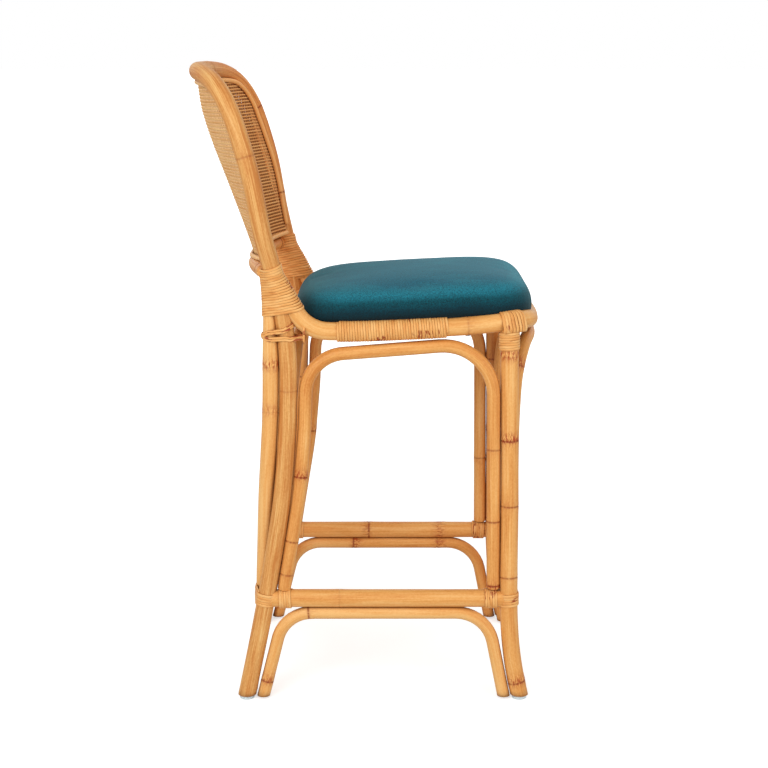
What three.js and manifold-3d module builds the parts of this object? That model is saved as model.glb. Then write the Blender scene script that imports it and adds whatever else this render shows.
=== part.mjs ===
// Counter-height bar stool: a bent rattan pole frame with coped and scarfed joints, rattan peel
// bindings, a bowed cane back and a padded seat.
//
// Millimetres, +Z up. The stool faces -Y, +X is to the right of somebody who looks at its front
// from behind the origin, and X = 0 is the plane of symmetry. The origin lies on the floor, under
// the middle of the stool.

import * as THREE from 'three';
import * as BufferGeometryUtils from 'three/addons/utils/BufferGeometryUtils.js';
import Module from 'manifold-3d';

const wasm = await Module();
wasm.setup();

// ---------------------------------------------------------------- driving dimensions

const totalHeight = 992;
const legPlane = 186;            // leg axes at the floor and at the stretchers, from the middle
const seatGap = 0.3;             // clearance between pieces that touch
const wrapGap = 0.4;             // clearance between a binding and the poles inside it

const poleRadius = 14;           // hoop, front legs, seat ring and stretchers
const supportRadius = 12.5;
const rearRailRadius = 11;
const bottomRailRadius = 11;
const upperArchRadius = 10.5;
const lowerArchRadius = 10;

const stretcherHeight = 166;     // axis of all four stretchers
const glideHeight = 6;
const glideRadius = 11.5;
const archFootLift = 4;          // lower arches end just above the floor

const frontFootY = -216;
const frontKneeY = -197;
const frontTopY = -191;
const rearFootY = 217;

const sideRailHeight = 596;      // axis of the side rail at the middle of the seat
const frontRailY = -234;         // axis of the front rail at X = 0

const hoopHalfWidth = 214.5;     // widest place of the back
const backBow = 58;              // how far the top rail lies behind the uprights
const backBowBottom = 38;
const uprightStartY = 165;       // the uprights' axes where they leave the back bindings
const uprightLean = 0.2482;      // how far they lean back for each millimetre of height

const seatMiddleY = -46;
const seatHalfLength = 190;
const seatHalfWidth = 194;

const strandThickness = 1.9;     // rattan peel
const strandWidth = 4.1;

const caneThickness = 2;
const caneBorder = 7;            // the edge of the cane outside its openings
const caneOpenShare = 0.5;       // an opening's width as a share of the grid's pitch
const beadRadius = 4;

const boardThickness = 12;
const screwRadius = 2;
const screwHeadRadius = 4.2;

// ---------------------------------------------------------------- materials

const finish = (color, roughness) => new THREE.MeshStandardMaterial({ color, roughness, metalness: 0 });
const poleFinish = finish(0xdca267, 0.5);
const peelFinish = finish(0xe2b47c, 0.55);
const caneFinish = finish(0xc98f55, 0.6);
const plushFinish = finish(0x14586a, 0.9);
const plywoodFinish = finish(0xcfae80, 0.7);
const glideFinish = finish(0xe8ecea, 0.3);
const screwFinish = new THREE.MeshStandardMaterial({ color: 0xb9bcc0, roughness: 0.35, metalness: 1 });

// ---------------------------------------------------------------- small helpers

const vec = (x, y, z) => new THREE.Vector3(x, y, z);
const mirrored = (p) => vec(-p.x, p.y, p.z);
const lerp = THREE.MathUtils.lerp;
const smoothstep = THREE.MathUtils.smoothstep;

/** The curve parameter at which test() changes sign, by bisection. */
function crossing(test) {
  let low = 0;
  let high = 1;
  const lowSign = Math.sign(test(low));
  for (let i = 0; i < 40; i += 1) {
    const middle = (low + high) / 2;
    if (Math.sign(test(middle)) === lowSign) low = middle;
    else high = middle;
  }
  return (low + high) / 2;
}

/** Straight runs with a round bend of the given radius at each inner corner. */
function bentPath(corners, bendRadii) {
  const path = new THREE.CurvePath();
  let start = corners[0];
  bendRadii.forEach((radius, i) => {
    const corner = corners[i + 1];
    const before = start.clone().sub(corner).normalize();
    const after = corners[i + 2].clone().sub(corner).normalize();
    const reach = radius / Math.tan(before.angleTo(after) / 2);
    const bendStart = corner.clone().addScaledVector(before, reach);
    const bendEnd = corner.clone().addScaledVector(after, reach);
    const handle = (4 / 3) * Math.tan((Math.PI - before.angleTo(after)) / 4) * radius;
    path.add(new THREE.LineCurve3(start, bendStart));
    path.add(new THREE.CubicBezierCurve3(
      bendStart,
      bendStart.clone().addScaledVector(before, -handle),
      bendEnd.clone().addScaledVector(after, -handle),
      bendEnd,
    ));
    start = bendEnd;
  });
  path.add(new THREE.LineCurve3(start, corners[corners.length - 1]));
  return path;
}

/** A smooth curve through a few points. */
const spline = (points) => new THREE.CatmullRomCurve3(points, false, 'centripetal');

/** Places along a curve for its rings: one at each turn of maxAngle or each run of maxRun. */
function ringStops(curve, maxAngle = 0.2, maxRun = 90, symmetric = false) {
  const samples = symmetric ? 300 : 400;
  const end = symmetric ? 0.5 : 1;
  const length = curve.getLength();
  const stops = [0];
  let lastTangent = curve.getTangentAt(0);
  let lastU = 0;
  for (let i = 1; i < samples; i += 1) {
    const u = (i / samples) * end;
    const tangent = curve.getTangentAt(u);
    if (tangent.angleTo(lastTangent) > maxAngle || (u - lastU) * length > maxRun) {
      stops.push(u);
      lastTangent = tangent;
      lastU = u;
    }
  }
  if ((end - lastU) * length < 4) stops.pop();
  return symmetric ? [...stops, 0.5, ...stops.map((u) => 1 - u).reverse()] : [...stops, 1];
}

/** Frames along a curve: origin, tangent and two cross axes that don't twist away from the middle. */
function framesAlong(curve, stops, middleNormal = vec(0, 0.3, 1)) {
  const frames = stops.map((u) => ({ origin: curve.getPointAt(u), tangent: curve.getTangentAt(u) }));
  const middle = Math.floor(stops.length / 2);
  const carry = (order) => order.reduce((normal, i) => {
    const frame = frames[i];
    frame.normal = normal.clone().addScaledVector(frame.tangent, -normal.dot(frame.tangent)).normalize();
    frame.binormal = frame.tangent.clone().cross(frame.normal);
    return frame.normal;
  }, middleNormal);
  carry(frames.map((_, i) => i).filter((i) => i >= middle));
  carry(frames.map((_, i) => i).filter((i) => i <= middle).reverse());
  return frames;
}

const inFrame = (frame, x, y) => frame.origin.clone()
  .addScaledVector(frame.normal, x)
  .addScaledVector(frame.binormal, y);

/** A closed solid from rings of as many points each, joined by cap triangles at both ends. */
function loft(rings, capTriangles) {
  const count = rings[0].length;
  const positions = rings.flat().flatMap((p) => [p.x, p.y, p.z]);
  const index = [];
  for (let i = 0; i + 1 < rings.length; i += 1) {
    for (let k = 0; k < count; k += 1) {
      const next = (k + 1) % count;
      const [a, b] = [i * count + k, i * count + next];
      const [d, c] = [a + count, b + count];
      index.push(a, b, c, a, c, d);
    }
  }
  const last = (rings.length - 1) * count;
  capTriangles.forEach(([a, b, c]) => index.push(a, c, b, last + a, last + b, last + c));
  return indexed(positions, index);
}

/** Cap triangles of a convex outline. */
const fan = (count) => Array.from({ length: count - 2 }, (_, i) => [0, i + 1, i + 2]);

/** Cap triangles of an open band: half its points run out along the outside, half run back. */
const strip = (half) => Array.from({ length: half - 1 }, (_, i) => {
  const back = 2 * half - 1 - i;
  return [[i, i + 1, back - 1], [i, back - 1, back]];
}).flat();

/** A tube with a wall from an outer and an inner set of closed rings. */
function shell(outer, inner) {
  const count = outer[0].length;
  const points = [...outer.flat(), ...inner.flat()];
  const innerStart = outer.length * count;
  const index = [];
  const sides = (start, rows, flipped) => {
    for (let i = 0; i + 1 < rows; i += 1) {
      for (let k = 0; k < count; k += 1) {
        const next = (k + 1) % count;
        const [a, b] = [start + i * count + k, start + i * count + next];
        const [d, c] = [a + count, b + count];
        if (flipped) index.push(a, c, b, a, d, c);
        else index.push(a, b, c, a, c, d);
      }
    }
  };
  sides(0, outer.length, false);
  sides(innerStart, inner.length, true);
  const outerEnd = (outer.length - 1) * count;
  const innerEnd = innerStart + (inner.length - 1) * count;
  for (let k = 0; k < count; k += 1) {
    const next = (k + 1) % count;
    index.push(k, innerStart + k, innerStart + next, k, innerStart + next, next);
    index.push(outerEnd + k, innerEnd + next, innerEnd + k, outerEnd + k, outerEnd + next, innerEnd + next);
  }
  return indexed(points.flatMap((p) => [p.x, p.y, p.z]), index);
}

function indexed(positions, index) {
  const geometry = new THREE.BufferGeometry();
  geometry.setAttribute('position', new THREE.Float32BufferAttribute(positions, 3));
  geometry.setIndex(index);
  return geometry;
}

/** A round pole along a curve; its radius may change along the way. */
function pole(curve, radius, {
  sides = poleSides, maxAngle, maxRun, symmetric, normal, radiusAt = () => radius,
} = {}) {
  const stops = ringStops(curve, maxAngle, maxRun, symmetric);
  const rings = framesAlong(curve, stops, normal).map((frame, i) => Array.from({ length: sides }, (_, k) => {
    const angle = ((k + 0.5) / sides) * Math.PI * 2;
    const r = radiusAt(stops[i]);
    return inFrame(frame, r * Math.cos(angle), r * Math.sin(angle));
  }));
  return loft(rings, fan(sides));
}

// ---------------------------------------------------------------- cutting and joining

function toSolid(geometry) {
  const bare = geometry.clone();
  ['normal', 'uv'].forEach((name) => bare.deleteAttribute(name));
  const merged = BufferGeometryUtils.mergeVertices(bare, 1e-4);
  return new wasm.Manifold(new wasm.Mesh({
    numProp: 3,
    vertProperties: new Float32Array(merged.attributes.position.array),
    triVerts: new Uint32Array(merged.index.array),
  }));
}

function toGeometry(solid) {
  const mesh = solid.getMesh();
  return indexed(Array.from(mesh.vertProperties), Array.from(mesh.triVerts));
}

/** The geometry less every cutter. */
function cut(geometry, ...cutters) {
  return toGeometry(cutters.reduce((solid, cutter) => solid.subtract(toSolid(cutter)), toSolid(geometry)));
}

// ---------------------------------------------------------------- the lines of the frame
// Every line is drawn for the side at -X; the other side is its mirror image.

const hoopTop = totalHeight - poleRadius;
const backStart = sideRailHeight + 102;    // where the back's uprights come out of their bindings
const archSpring = sideRailHeight + 164;   // where the hoop starts to close

/** Heights on the legs, as a share of the way from the stretchers up to the side rails. */
const upLeg = (share) => lerp(stretcherHeight, sideRailHeight, share);

/** Where the uprights of the back stand, and how far the middle of the back lies behind them. */
const uprightY = (z) => uprightStartY + (z - backStart) * uprightLean;
const bowAt = (z) => lerp(backBowBottom, backBow, smoothstep(z, backStart - 38, hoopTop - 78));

/** The bowed surface that the hoop, the cane and the bottom rail share. */
function backSurface(x, z) {
  const across = x / hoopHalfWidth;
  return vec(x, uprightY(z) + bowAt(z) * (1 - across * across), z);
}

const hoopSquareness = 4.9;

/** The closing part of the hoop in the back surface, from -1 at the left spring to 1 at the right. */
function hoopArch(t) {
  const angle = t * Math.PI / 2;
  const power = 2 / hoopSquareness;
  const x = hoopHalfWidth * Math.sign(t) * Math.abs(Math.sin(angle)) ** power;
  return backSurface(x, archSpring + (hoopTop - archSpring) * Math.cos(angle) ** power);
}

/** A point inside the closing part of the hoop, the same distance in from its axis everywhere. */
function insideHoop(t, inset) {
  const step = 0.004;
  const run = hoopArch(t + step).sub(hoopArch(t - step));
  const inward = vec(run.z, 0, -run.x).normalize();
  return hoopArch(t).addScaledVector(inward, inset);
}

const footExtra = 16;            // poles are drawn past the floor and then cut level

const rearLegStations = [
  vec(-legPlane, rearFootY + 4, glideHeight - footExtra),
  vec(-legPlane, 188, stretcherHeight - 15),
  vec(-legPlane, 158.5, upLeg(0.372)),
  vec(-legPlane, 147.5, upLeg(0.707)),
  vec(-legPlane - 1, 147.5, sideRailHeight - 36),
  vec(-legPlane - 4, 156, sideRailHeight + 34),
  vec(-legPlane - 11, 171, backStart),
  vec(-legPlane - 21, 181.5, backStart + 44),
];
const archStations = [-0.97, -0.86, -0.74, -0.62, -0.5, -0.36, -0.2, -0.08].map((t) => hoopArch(t));
const leftHalf = [...rearLegStations, ...archStations];
const hoopLine = spline([...leftHalf, hoopArch(0), ...leftHalf.map(mirrored).reverse()]);

const supportFootX = legPlane - 25.5;      // the supports stand inside the rear legs
const supportLine = spline([
  vec(-supportFootX, 191, stretcherHeight - poleRadius),
  vec(-supportFootX - 1.5, 188, upLeg(0.144)),
  vec(-legPlane + 13, 183.5, upLeg(0.372)),
  vec(-legPlane + 2, 178, upLeg(0.558)),
  vec(-legPlane, 174.5, upLeg(0.707)),
  vec(-legPlane - 2, 173, sideRailHeight - 26),
  vec(-legPlane - 3, 175, sideRailHeight + 44),
  vec(-legPlane - 5, 180, sideRailHeight + 92),
]);

const frontLegLine = spline([
  vec(-legPlane, frontFootY - 2.5, glideHeight - footExtra),
  vec(-legPlane, frontKneeY - 7, stretcherHeight - 104),
  vec(-legPlane, frontKneeY, stretcherHeight - 31),
  vec(-legPlane + 1, lerp(frontKneeY, frontTopY, 0.35), upLeg(0.405)),
  vec(-legPlane + 5, frontTopY, sideRailHeight + 5),
]);

const ringStations = [
  vec(-legPlane - 10, 170, backStart - 2),
  vec(-legPlane - 5, 151.5, sideRailHeight + 59),
  vec(-legPlane - 2, 138, sideRailHeight + 31),
  vec(-legPlane - 1, 122, sideRailHeight + 10),
  vec(-legPlane, 100, sideRailHeight - 2),
  vec(-legPlane, 70, sideRailHeight - 4.5),
  vec(-legPlane, -100, sideRailHeight + 2),
  vec(-legPlane + 1, -160, sideRailHeight + 7),
  vec(-legPlane + 11, -199, sideRailHeight + 10.5),
  vec(-legPlane + 36, -219, sideRailHeight + 9),
  vec(-80, frontRailY + 5, sideRailHeight),
];
const ringLine = spline([
  ...ringStations,
  vec(0, frontRailY, sideRailHeight - 4),
  ...ringStations.map(mirrored).reverse(),
]);

const rearRailX = legPlane - poleRadius - rearRailRadius - seatGap;
const rearRailY = seatMiddleY + seatHalfLength - 18;
const rearRailHeight = sideRailHeight - 4.5;
const lapEnd = -108;
const rearRailLine = bentPath(
  [
    vec(-rearRailX, lapEnd, sideRailHeight + 2),
    vec(-rearRailX, 40, rearRailHeight),
    vec(-rearRailX, rearRailY, rearRailHeight),
    vec(rearRailX, rearRailY, rearRailHeight),
    vec(rearRailX, 40, rearRailHeight),
    vec(rearRailX, lapEnd, sideRailHeight + 2),
  ],
  [300, 48, 48, 300],
);

const stretcherTop = stretcherHeight + poleRadius + strandThickness + wrapGap;
const archFoot = stretcherTop - 4;

const upperSideArchLine = bentPath(
  [
    vec(-legPlane, 157, archFoot),
    vec(-legPlane, 131.5, upLeg(0.393)),
    vec(-legPlane, 122, upLeg(0.637)),
    vec(-legPlane, 118, sideRailHeight - 43),
    vec(-legPlane, -167.5, sideRailHeight - 20.5),
    vec(-legPlane, -171.5, archFoot),
  ],
  [700, 700, 62, 78],
);

const poleSides = 10;
const flatShare = Math.cos(Math.PI / poleSides);   // how near a pole's flats lie to its axis
const underStretcher = stretcherHeight - (poleRadius + lowerArchRadius) * flatShare - seatGap;
const lowerSideArchLine = bentPath(
  [
    vec(-legPlane, 195, -10),
    vec(-legPlane, 157, underStretcher),
    vec(-legPlane, -162, underStretcher),
    vec(-legPlane, -193, -10),
  ],
  [56, 60],
);

const archSide = legPlane - poleRadius - upperArchRadius - seatGap;
const upperFrontArchLeft = [
  vec(-archSide, frontKneeY - 4, archFoot),
  vec(-archSide + 1, frontKneeY - 3, upLeg(0.381)),
  vec(-archSide + 3.5, frontKneeY - 4, upLeg(0.688)),
  vec(-archSide + 13, frontKneeY - 9, sideRailHeight - 76),
  vec(-archSide + 44, frontRailY + 16, sideRailHeight - 39),
  vec(-62, frontRailY + 4, sideRailHeight - 29.5),
];
const upperFrontArchLine = spline([
  ...upperFrontArchLeft,
  vec(0, frontRailY + 1, sideRailHeight - 4 - poleRadius - upperArchRadius - 0.5),
  ...upperFrontArchLeft.map(mirrored).reverse(),
]);

const lowerArchSide = legPlane - poleRadius - lowerArchRadius - 0.6;
const lowerFrontArchLine = bentPath(
  [
    vec(-lowerArchSide, -215, -10),
    vec(-lowerArchSide, frontKneeY, underStretcher),
    vec(lowerArchSide, frontKneeY, underStretcher),
    vec(lowerArchSide, -215, -10),
  ],
  [56, 56],
);

const rearStretcherY = 190;
const lowerRearArchLine = bentPath(
  [
    vec(-lowerArchSide, 216, -10),
    vec(-lowerArchSide, rearStretcherY - 2, underStretcher),
    vec(lowerArchSide, rearStretcherY - 2, underStretcher),
    vec(lowerArchSide, 216, -10),
  ],
  [56, 56],
);

const rearArchFootX = legPlane - 52;
const gentleBend = 900;
const archBend = 66;
const rearArchY = rearRailY + 10;   // behind the rail's middle, clear of the screws in it
const rearArchTop = rearRailHeight - rearRailRadius - upperArchRadius - seatGap;
const upperRearArchLine = bentPath(
  [
    vec(-rearArchFootX, rearStretcherY - 2, archFoot),
    vec(-rearArchFootX - 14, 158, upLeg(0.428)),
    vec(-rearArchFootX - 18, rearArchY, rearArchTop),
    vec(rearArchFootX + 18, rearArchY, rearArchTop),
    vec(rearArchFootX + 14, 158, upLeg(0.428)),
    vec(rearArchFootX, rearStretcherY - 2, archFoot),
  ],
  [gentleBend, archBend, archBend, gentleBend],
);

const bottomRailSideX = 110;
const bottomRailHeight = backStart - 14;
const bottomRailEnd = vec(-legPlane - 8, 180, bottomRailHeight);
const bottomRailMiddle = backSurface(0, bottomRailHeight - 7).add(vec(0, 8, 0));
const bottomRailSide = vec(
  -bottomRailSideX,
  lerp(bottomRailEnd.y, bottomRailMiddle.y, 0.66),
  bottomRailHeight - 2,
);
const bottomRailLine = spline([
  bottomRailEnd,
  bottomRailSide,
  bottomRailMiddle,
  mirrored(bottomRailSide),
  mirrored(bottomRailEnd),
]);

// ---------------------------------------------------------------- the model

const model = new THREE.Group();
model.name = 'bar_stool';

function add(name, geometry, material) {
  const mesh = new THREE.Mesh(geometry, material);
  mesh.name = name;
  model.add(mesh);
  return mesh;
}

/** The same piece at -X and, mirrored, at +X. */
function addPair(name, geometry, material) {
  add(`${name}_left`, geometry, material);
  add(`${name}_right`, flipped(geometry), material);
}

function flipped(geometry) {
  const copy = geometry.clone();
  copy.scale(-1, 1, 1);
  const { array } = copy.index;
  for (let i = 0; i < array.length; i += 3) [array[i], array[i + 1]] = [array[i + 1], array[i]];
  return copy;
}

// ---------------------------------------------------------------- bindings of rattan peel

/** The outline round a bundle of circles, set off by a distance, in a frame's own plane. */
function roundBundle(frame, circles, offset, sides, from = 0, sweep = Math.PI * 2) {
  const steps = sweep === Math.PI * 2 ? sides : sides - 1;
  return Array.from({ length: sides }, (_, k) => {
    const angle = from + (k / steps) * sweep;
    const [cos, sin] = [Math.cos(angle), Math.sin(angle)];
    const reach = (circle) => circle.x * cos + circle.y * sin + circle.r;
    const touched = circles.reduce((best, circle) => (reach(circle) > reach(best) ? circle : best));
    const r = touched.r + offset;
    return inFrame(frame, touched.x + r * cos, touched.y + r * sin);
  });
}

const endAllowance = 14;         // a pole still counts this far past its end

/** The circles in which the poles of a bundle pass through a frame's plane. A slanting pole cuts the
 * plane in an ellipse, which two shifted circles cover. */
function bundleIn(frame, poles) {
  return poles.flatMap(({ line, r, radiusAt }) => {
    const side = (u) => line.getPoint(u).sub(frame.origin).dot(frame.tangent);
    const ends = [side(0), side(1)];
    const nearEnd = Math.abs(ends[0]) < Math.abs(ends[1]) ? 0 : 1;
    const runsThrough = ends[0] * ends[1] < 0;
    if (!runsThrough && Math.abs(ends[nearEnd]) > endAllowance) return [];
    const t = runsThrough ? crossing(side) : nearEnd;
    const centre = line.getPoint(t).sub(frame.origin);
    const slant = line.getTangent(t);
    const along = Math.abs(slant.dot(frame.tangent));
    const radius = radiusAt ? radiusAt(t) : r;
    const stretch = Math.min(radius * (1 / Math.max(along, 0.6) - 1), radius);
    const lean = slant.addScaledVector(frame.tangent, -slant.dot(frame.tangent));
    if (lean.length() > 0) lean.normalize();
    return [-stretch, stretch].map((shift) => {
      const place = centre.clone().addScaledVector(lean, shift);
      return { x: place.dot(frame.normal), y: place.dot(frame.binormal), r: radius };
    });
  });
}

/** Parameters from start to end, one for each groove and each crest of a binding. */
function ridgeStops(curve, start, end, strands = 2) {
  const run = Math.abs(end - start) * curve.getLength();
  const ridges = Math.max(1, Math.round(run / (strands * strandWidth)));
  return Array.from({ length: 2 * ridges + 1 }, (_, i) => lerp(start, end, i / (2 * ridges)));
}

const crestOffset = (i) => (i % 2 ? strandThickness : strandThickness * 0.4);

/** A binding all round a bundle of poles, with a ridge for each pair of strands. */
function binding(curve, start, end, poles, {
  sides = 12, normal, looseness = 0, strands = 2, innerStep = 4,
} = {}) {
  const inner = (poleRadius + wrapGap) / Math.cos(Math.PI / sides) - poleRadius + looseness;
  const rings = (stops, offsetAt) => framesAlong(curve, stops, normal).map((frame, i) => (
    roundBundle(frame, bundleIn(frame, poles), offsetAt(i), sides)));
  const outerStops = ridgeStops(curve, start, end, strands);
  const innerStops = outerStops.filter((_, i) => i % innerStep === 0 || i === outerStops.length - 1);
  return shell(rings(outerStops, (i) => inner + crestOffset(i)), rings(innerStops, () => inner));
}

/** A binding open along one side, where other poles come in. */
function openBinding(curve, start, end, poles, from, sweep, { sides = 9, normal, looseness = 0.3 } = {}) {
  const inner = (poleRadius + wrapGap) / Math.cos(sweep / (2 * (sides - 1))) - poleRadius + looseness;
  const rings = framesAlong(curve, ridgeStops(curve, start, end), normal).map((frame, i) => {
    const circles = bundleIn(frame, poles);
    return [
      ...roundBundle(frame, circles, inner + crestOffset(i), sides, from, sweep),
      ...roundBundle(frame, circles, inner, sides, from, sweep).reverse(),
    ];
  });
  return loft(rings, strip(sides));
}

// ---------------------------------------------------------------- poles

const half = (curve) => ({
  getPoint: (t) => curve.getPointAt(t / 2),
  getTangent: (t) => curve.getTangentAt(t / 2),
});
const hoopHalf = half(hoopLine);
const ringHalf = half(ringLine);
const rearRailHalf = half(rearRailLine);

const belowFeet = (height) => new THREE.BoxGeometry(1200, 1200, 200).translate(0, 0, height - 100);
const wider = (curve, radius, options) => pole(curve, radius + seatGap, options);

const hoopSteps = { sides: 12, maxAngle: 0.17, symmetric: true, normal: vec(0, 1, 0) };
const hoopCutter = wider(hoopLine, poleRadius, hoopSteps);
const feetCut = belowFeet(glideHeight + seatGap);
add('back_hoop', cut(pole(hoopLine, poleRadius, hoopSteps), feetCut), poleFinish);

const supportTaper = (u) => lerp(supportRadius, 7, smoothstep(u, 0.72, 1));
const supportSteps = { radiusAt: supportTaper, maxRun: 40, normal: vec(0, 1, 0) };
addPair('rear_support', cut(pole(supportLine, supportRadius, supportSteps), hoopCutter), poleFinish);
const supportCutter = pole(supportLine, supportRadius, {
  ...supportSteps,
  radiusAt: (u) => supportTaper(u) + seatGap,
});

const ringScarfRun = 70 / ringLine.getLength();
const ringTaper = (u) => lerp(9, poleRadius, smoothstep(Math.min(u, 1 - u), 0, ringScarfRun));
const ringSteps = { maxAngle: 0.18, maxRun: 60, symmetric: true };
const ringCutter = pole(ringLine, poleRadius, { ...ringSteps, radiusAt: (u) => ringTaper(u) + seatGap });
const frontLegSteps = { sides: 12, normal: vec(0, 1, 0) };
addPair('front_leg', cut(pole(frontLegLine, poleRadius, frontLegSteps), ringCutter, feetCut), poleFinish);
const frontLegCutter = wider(frontLegLine, poleRadius, frontLegSteps);

const copeDepth = 8;             // how far short of the leg's axis the stretchers end
const stretcherSteps = { maxRun: 400, normal: vec(0, 0, 1) };
const sideStretcherLine = new THREE.LineCurve3(
  vec(-legPlane, frontKneeY + copeDepth, stretcherHeight),
  vec(-legPlane, 186 - copeDepth, stretcherHeight),
);
const acrossLine = (halfLength, y) => new THREE.LineCurve3(
  vec(-halfLength, y, stretcherHeight),
  vec(halfLength, y, stretcherHeight),
);
const frontStretcherLine = acrossLine(legPlane - copeDepth, frontKneeY);
const rearStretcherLine = acrossLine(161 - copeDepth, rearStretcherY);
addPair('side_stretcher', cut(
  pole(sideStretcherLine, poleRadius, stretcherSteps),
  frontLegCutter,
  hoopCutter,
  wider(frontStretcherLine, poleRadius, stretcherSteps),
), poleFinish);
add('front_stretcher', cut(
  pole(frontStretcherLine, poleRadius, stretcherSteps),
  frontLegCutter,
  flipped(frontLegCutter),
), poleFinish);
add('rear_stretcher', cut(
  pole(rearStretcherLine, poleRadius, stretcherSteps),
  supportCutter,
  flipped(supportCutter),
), poleFinish);

const overBinding = (line) => pole(line, poleRadius + strandThickness + 3.2 * wrapGap, {
  sides: 16, maxRun: 400, normal: vec(0, 0, 1),
});
const archFeetCut = belowFeet(archFootLift);
const sideArchSteps = { maxAngle: 0.27, normal: vec(0, 0, 1) };
addPair('upper_side_arch', cut(
  pole(upperSideArchLine, upperArchRadius, sideArchSteps),
  overBinding(sideStretcherLine),
), poleFinish);
addPair('lower_side_arch', cut(
  pole(lowerSideArchLine, lowerArchRadius, sideArchSteps),
  archFeetCut,
), poleFinish);
const archSteps = { maxAngle: 0.27, symmetric: true, normal: vec(0, 0, 1) };
add('upper_front_arch', cut(
  pole(upperFrontArchLine, upperArchRadius, archSteps),
  overBinding(frontStretcherLine),
), poleFinish);
add('upper_rear_arch', cut(
  pole(upperRearArchLine, upperArchRadius, archSteps),
  overBinding(rearStretcherLine),
), poleFinish);
add('lower_front_arch', cut(pole(lowerFrontArchLine, lowerArchRadius, archSteps), archFeetCut), poleFinish);
add('lower_rear_arch', cut(pole(lowerRearArchLine, lowerArchRadius, archSteps), archFeetCut), poleFinish);

// ---------------------------------------------------------------- the bindings in place

const alongHeight = (curve, z) => crossing((t) => curve.getPointAt(t).z - z);
const hoopParam = (z) => alongHeight({ getPointAt: (t) => hoopLine.getPointAt(t / 2) }, z) / 2;
const hoopAt = (z) => hoopLine.getPointAt(hoopParam(z));
const ringParam = (y) => crossing((t) => ringLine.getPointAt(t / 2).y - y) / 2;

const hoopPole = { line: hoopHalf, r: poleRadius };
const ringPole = { line: ringHalf, radiusAt: (t) => ringTaper(t / 2) };
const supportPole = {
  line: { getPoint: (t) => supportLine.getPointAt(t), getTangent: (t) => supportLine.getTangentAt(t) },
  radiusAt: supportTaper,
};
const rearRailPole = { line: rearRailHalf, r: rearRailRadius };

const backLooseness = 1.1;
addPair('back_binding', binding(
  hoopLine,
  hoopParam(sideRailHeight + 22),
  hoopParam(backStart - 3),
  [hoopPole, ringPole, supportPole],
  { sides: 20, normal: vec(1, 0, 0), looseness: backLooseness },
), peelFinish);

addPair('seat_splice_binding', binding(
  ringLine,
  ringParam(73),
  ringParam(-98),
  [ringPole, rearRailPole],
  { sides: 14, normal: vec(0, 0, 1), looseness: 0.7, strands: 3, innerStep: 6 },
), peelFinish);

const degrees = Math.PI / 180;
addPair('seat_corner_binding', openBinding(
  ringLine,
  ringParam(-178),
  ringParam(-206),
  [ringPole],
  -105 * degrees,
  210 * degrees,
  { normal: vec(0, 0, 1) },
), peelFinish);

const frontLegPole = { line: frontLegLine, r: poleRadius };
addPair('leg_top_binding', binding(
  frontLegLine,
  alongHeight(frontLegLine, sideRailHeight - 35),
  alongHeight(frontLegLine, sideRailHeight - 6),
  [frontLegPole],
  { normal: vec(1, 0, 0) },
), peelFinish);

const knotHalfHeight = 13;
addPair('front_knot_binding', openBinding(
  frontLegLine,
  alongHeight(frontLegLine, stretcherHeight - knotHalfHeight),
  alongHeight(frontLegLine, stretcherHeight + knotHalfHeight - 1),
  [frontLegPole],
  155 * degrees,
  140 * degrees,
  { normal: vec(1, 0, 0) },
), peelFinish);
addPair('rear_knot_binding', openBinding(
  hoopLine,
  hoopParam(stretcherHeight - knotHalfHeight + 1),
  hoopParam(stretcherHeight + knotHalfHeight - 1),
  [hoopPole, supportPole],
  65 * degrees,
  140 * degrees,
  { normal: vec(1, 0, 0) },
), peelFinish);
addPair('rear_lashing', binding(
  hoopLine,
  hoopParam(sideRailHeight - 20),
  hoopParam(sideRailHeight - 6),
  [hoopPole, supportPole],
  { normal: vec(1, 0, 0) },
), peelFinish);

/** The binding of one end of a stretcher, between two distances along its line. */
function endBinding(line, r, from, to) {
  const length = line.getLength();
  return binding(line, from / length, to / length, [{ line, r }], { normal: vec(0, 0, 1), innerStep: 99 });
}

const endBindingWidth = 24;
const sideLength = sideStretcherLine.getLength();
addPair('side_stretcher_front_binding', endBinding(
  sideStretcherLine, poleRadius, 9, 9 + endBindingWidth), peelFinish);
addPair('side_stretcher_rear_binding', endBinding(
  sideStretcherLine, poleRadius, sideLength - 11 - endBindingWidth, sideLength - 11), peelFinish);
addPair('front_stretcher_binding', endBinding(
  frontStretcherLine, poleRadius, 11, 11 + endBindingWidth), peelFinish);
addPair('rear_stretcher_binding', endBinding(
  rearStretcherLine, poleRadius, 8, 8 + endBindingWidth), peelFinish);

// ---------------------------------------------------------------- the back: rail, cane and beads

add('back_bottom_rail', cut(
  pole(bottomRailLine, bottomRailRadius, { symmetric: true, maxAngle: 0.12, normal: vec(0, 0, 1) }),
  hoopCutter,
  ...['left', 'right'].map((side) => bindingHull(side)),
), poleFinish);

/** The outside of the back binding without its ridges, as a cutter. */
function bindingHull(side) {
  const [low, high] = [hoopParam(sideRailHeight + 14), hoopParam(backStart + 0.5)];
  const stops = Array.from({ length: 9 }, (_, i) => lerp(low, high, i / 8));
  const sides = 20;
  const offset = (poleRadius + wrapGap) / Math.cos(Math.PI / sides) - poleRadius + backLooseness
    + strandThickness + seatGap;
  const rings = framesAlong(hoopLine, stops, vec(1, 0, 0)).map((frame) => (
    roundBundle(frame, bundleIn(frame, [hoopPole, ringPole, supportPole]), offset, sides)));
  const hull = loft(rings, fan(sides));
  return side === 'left' ? hull : flipped(hull);
}

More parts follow.
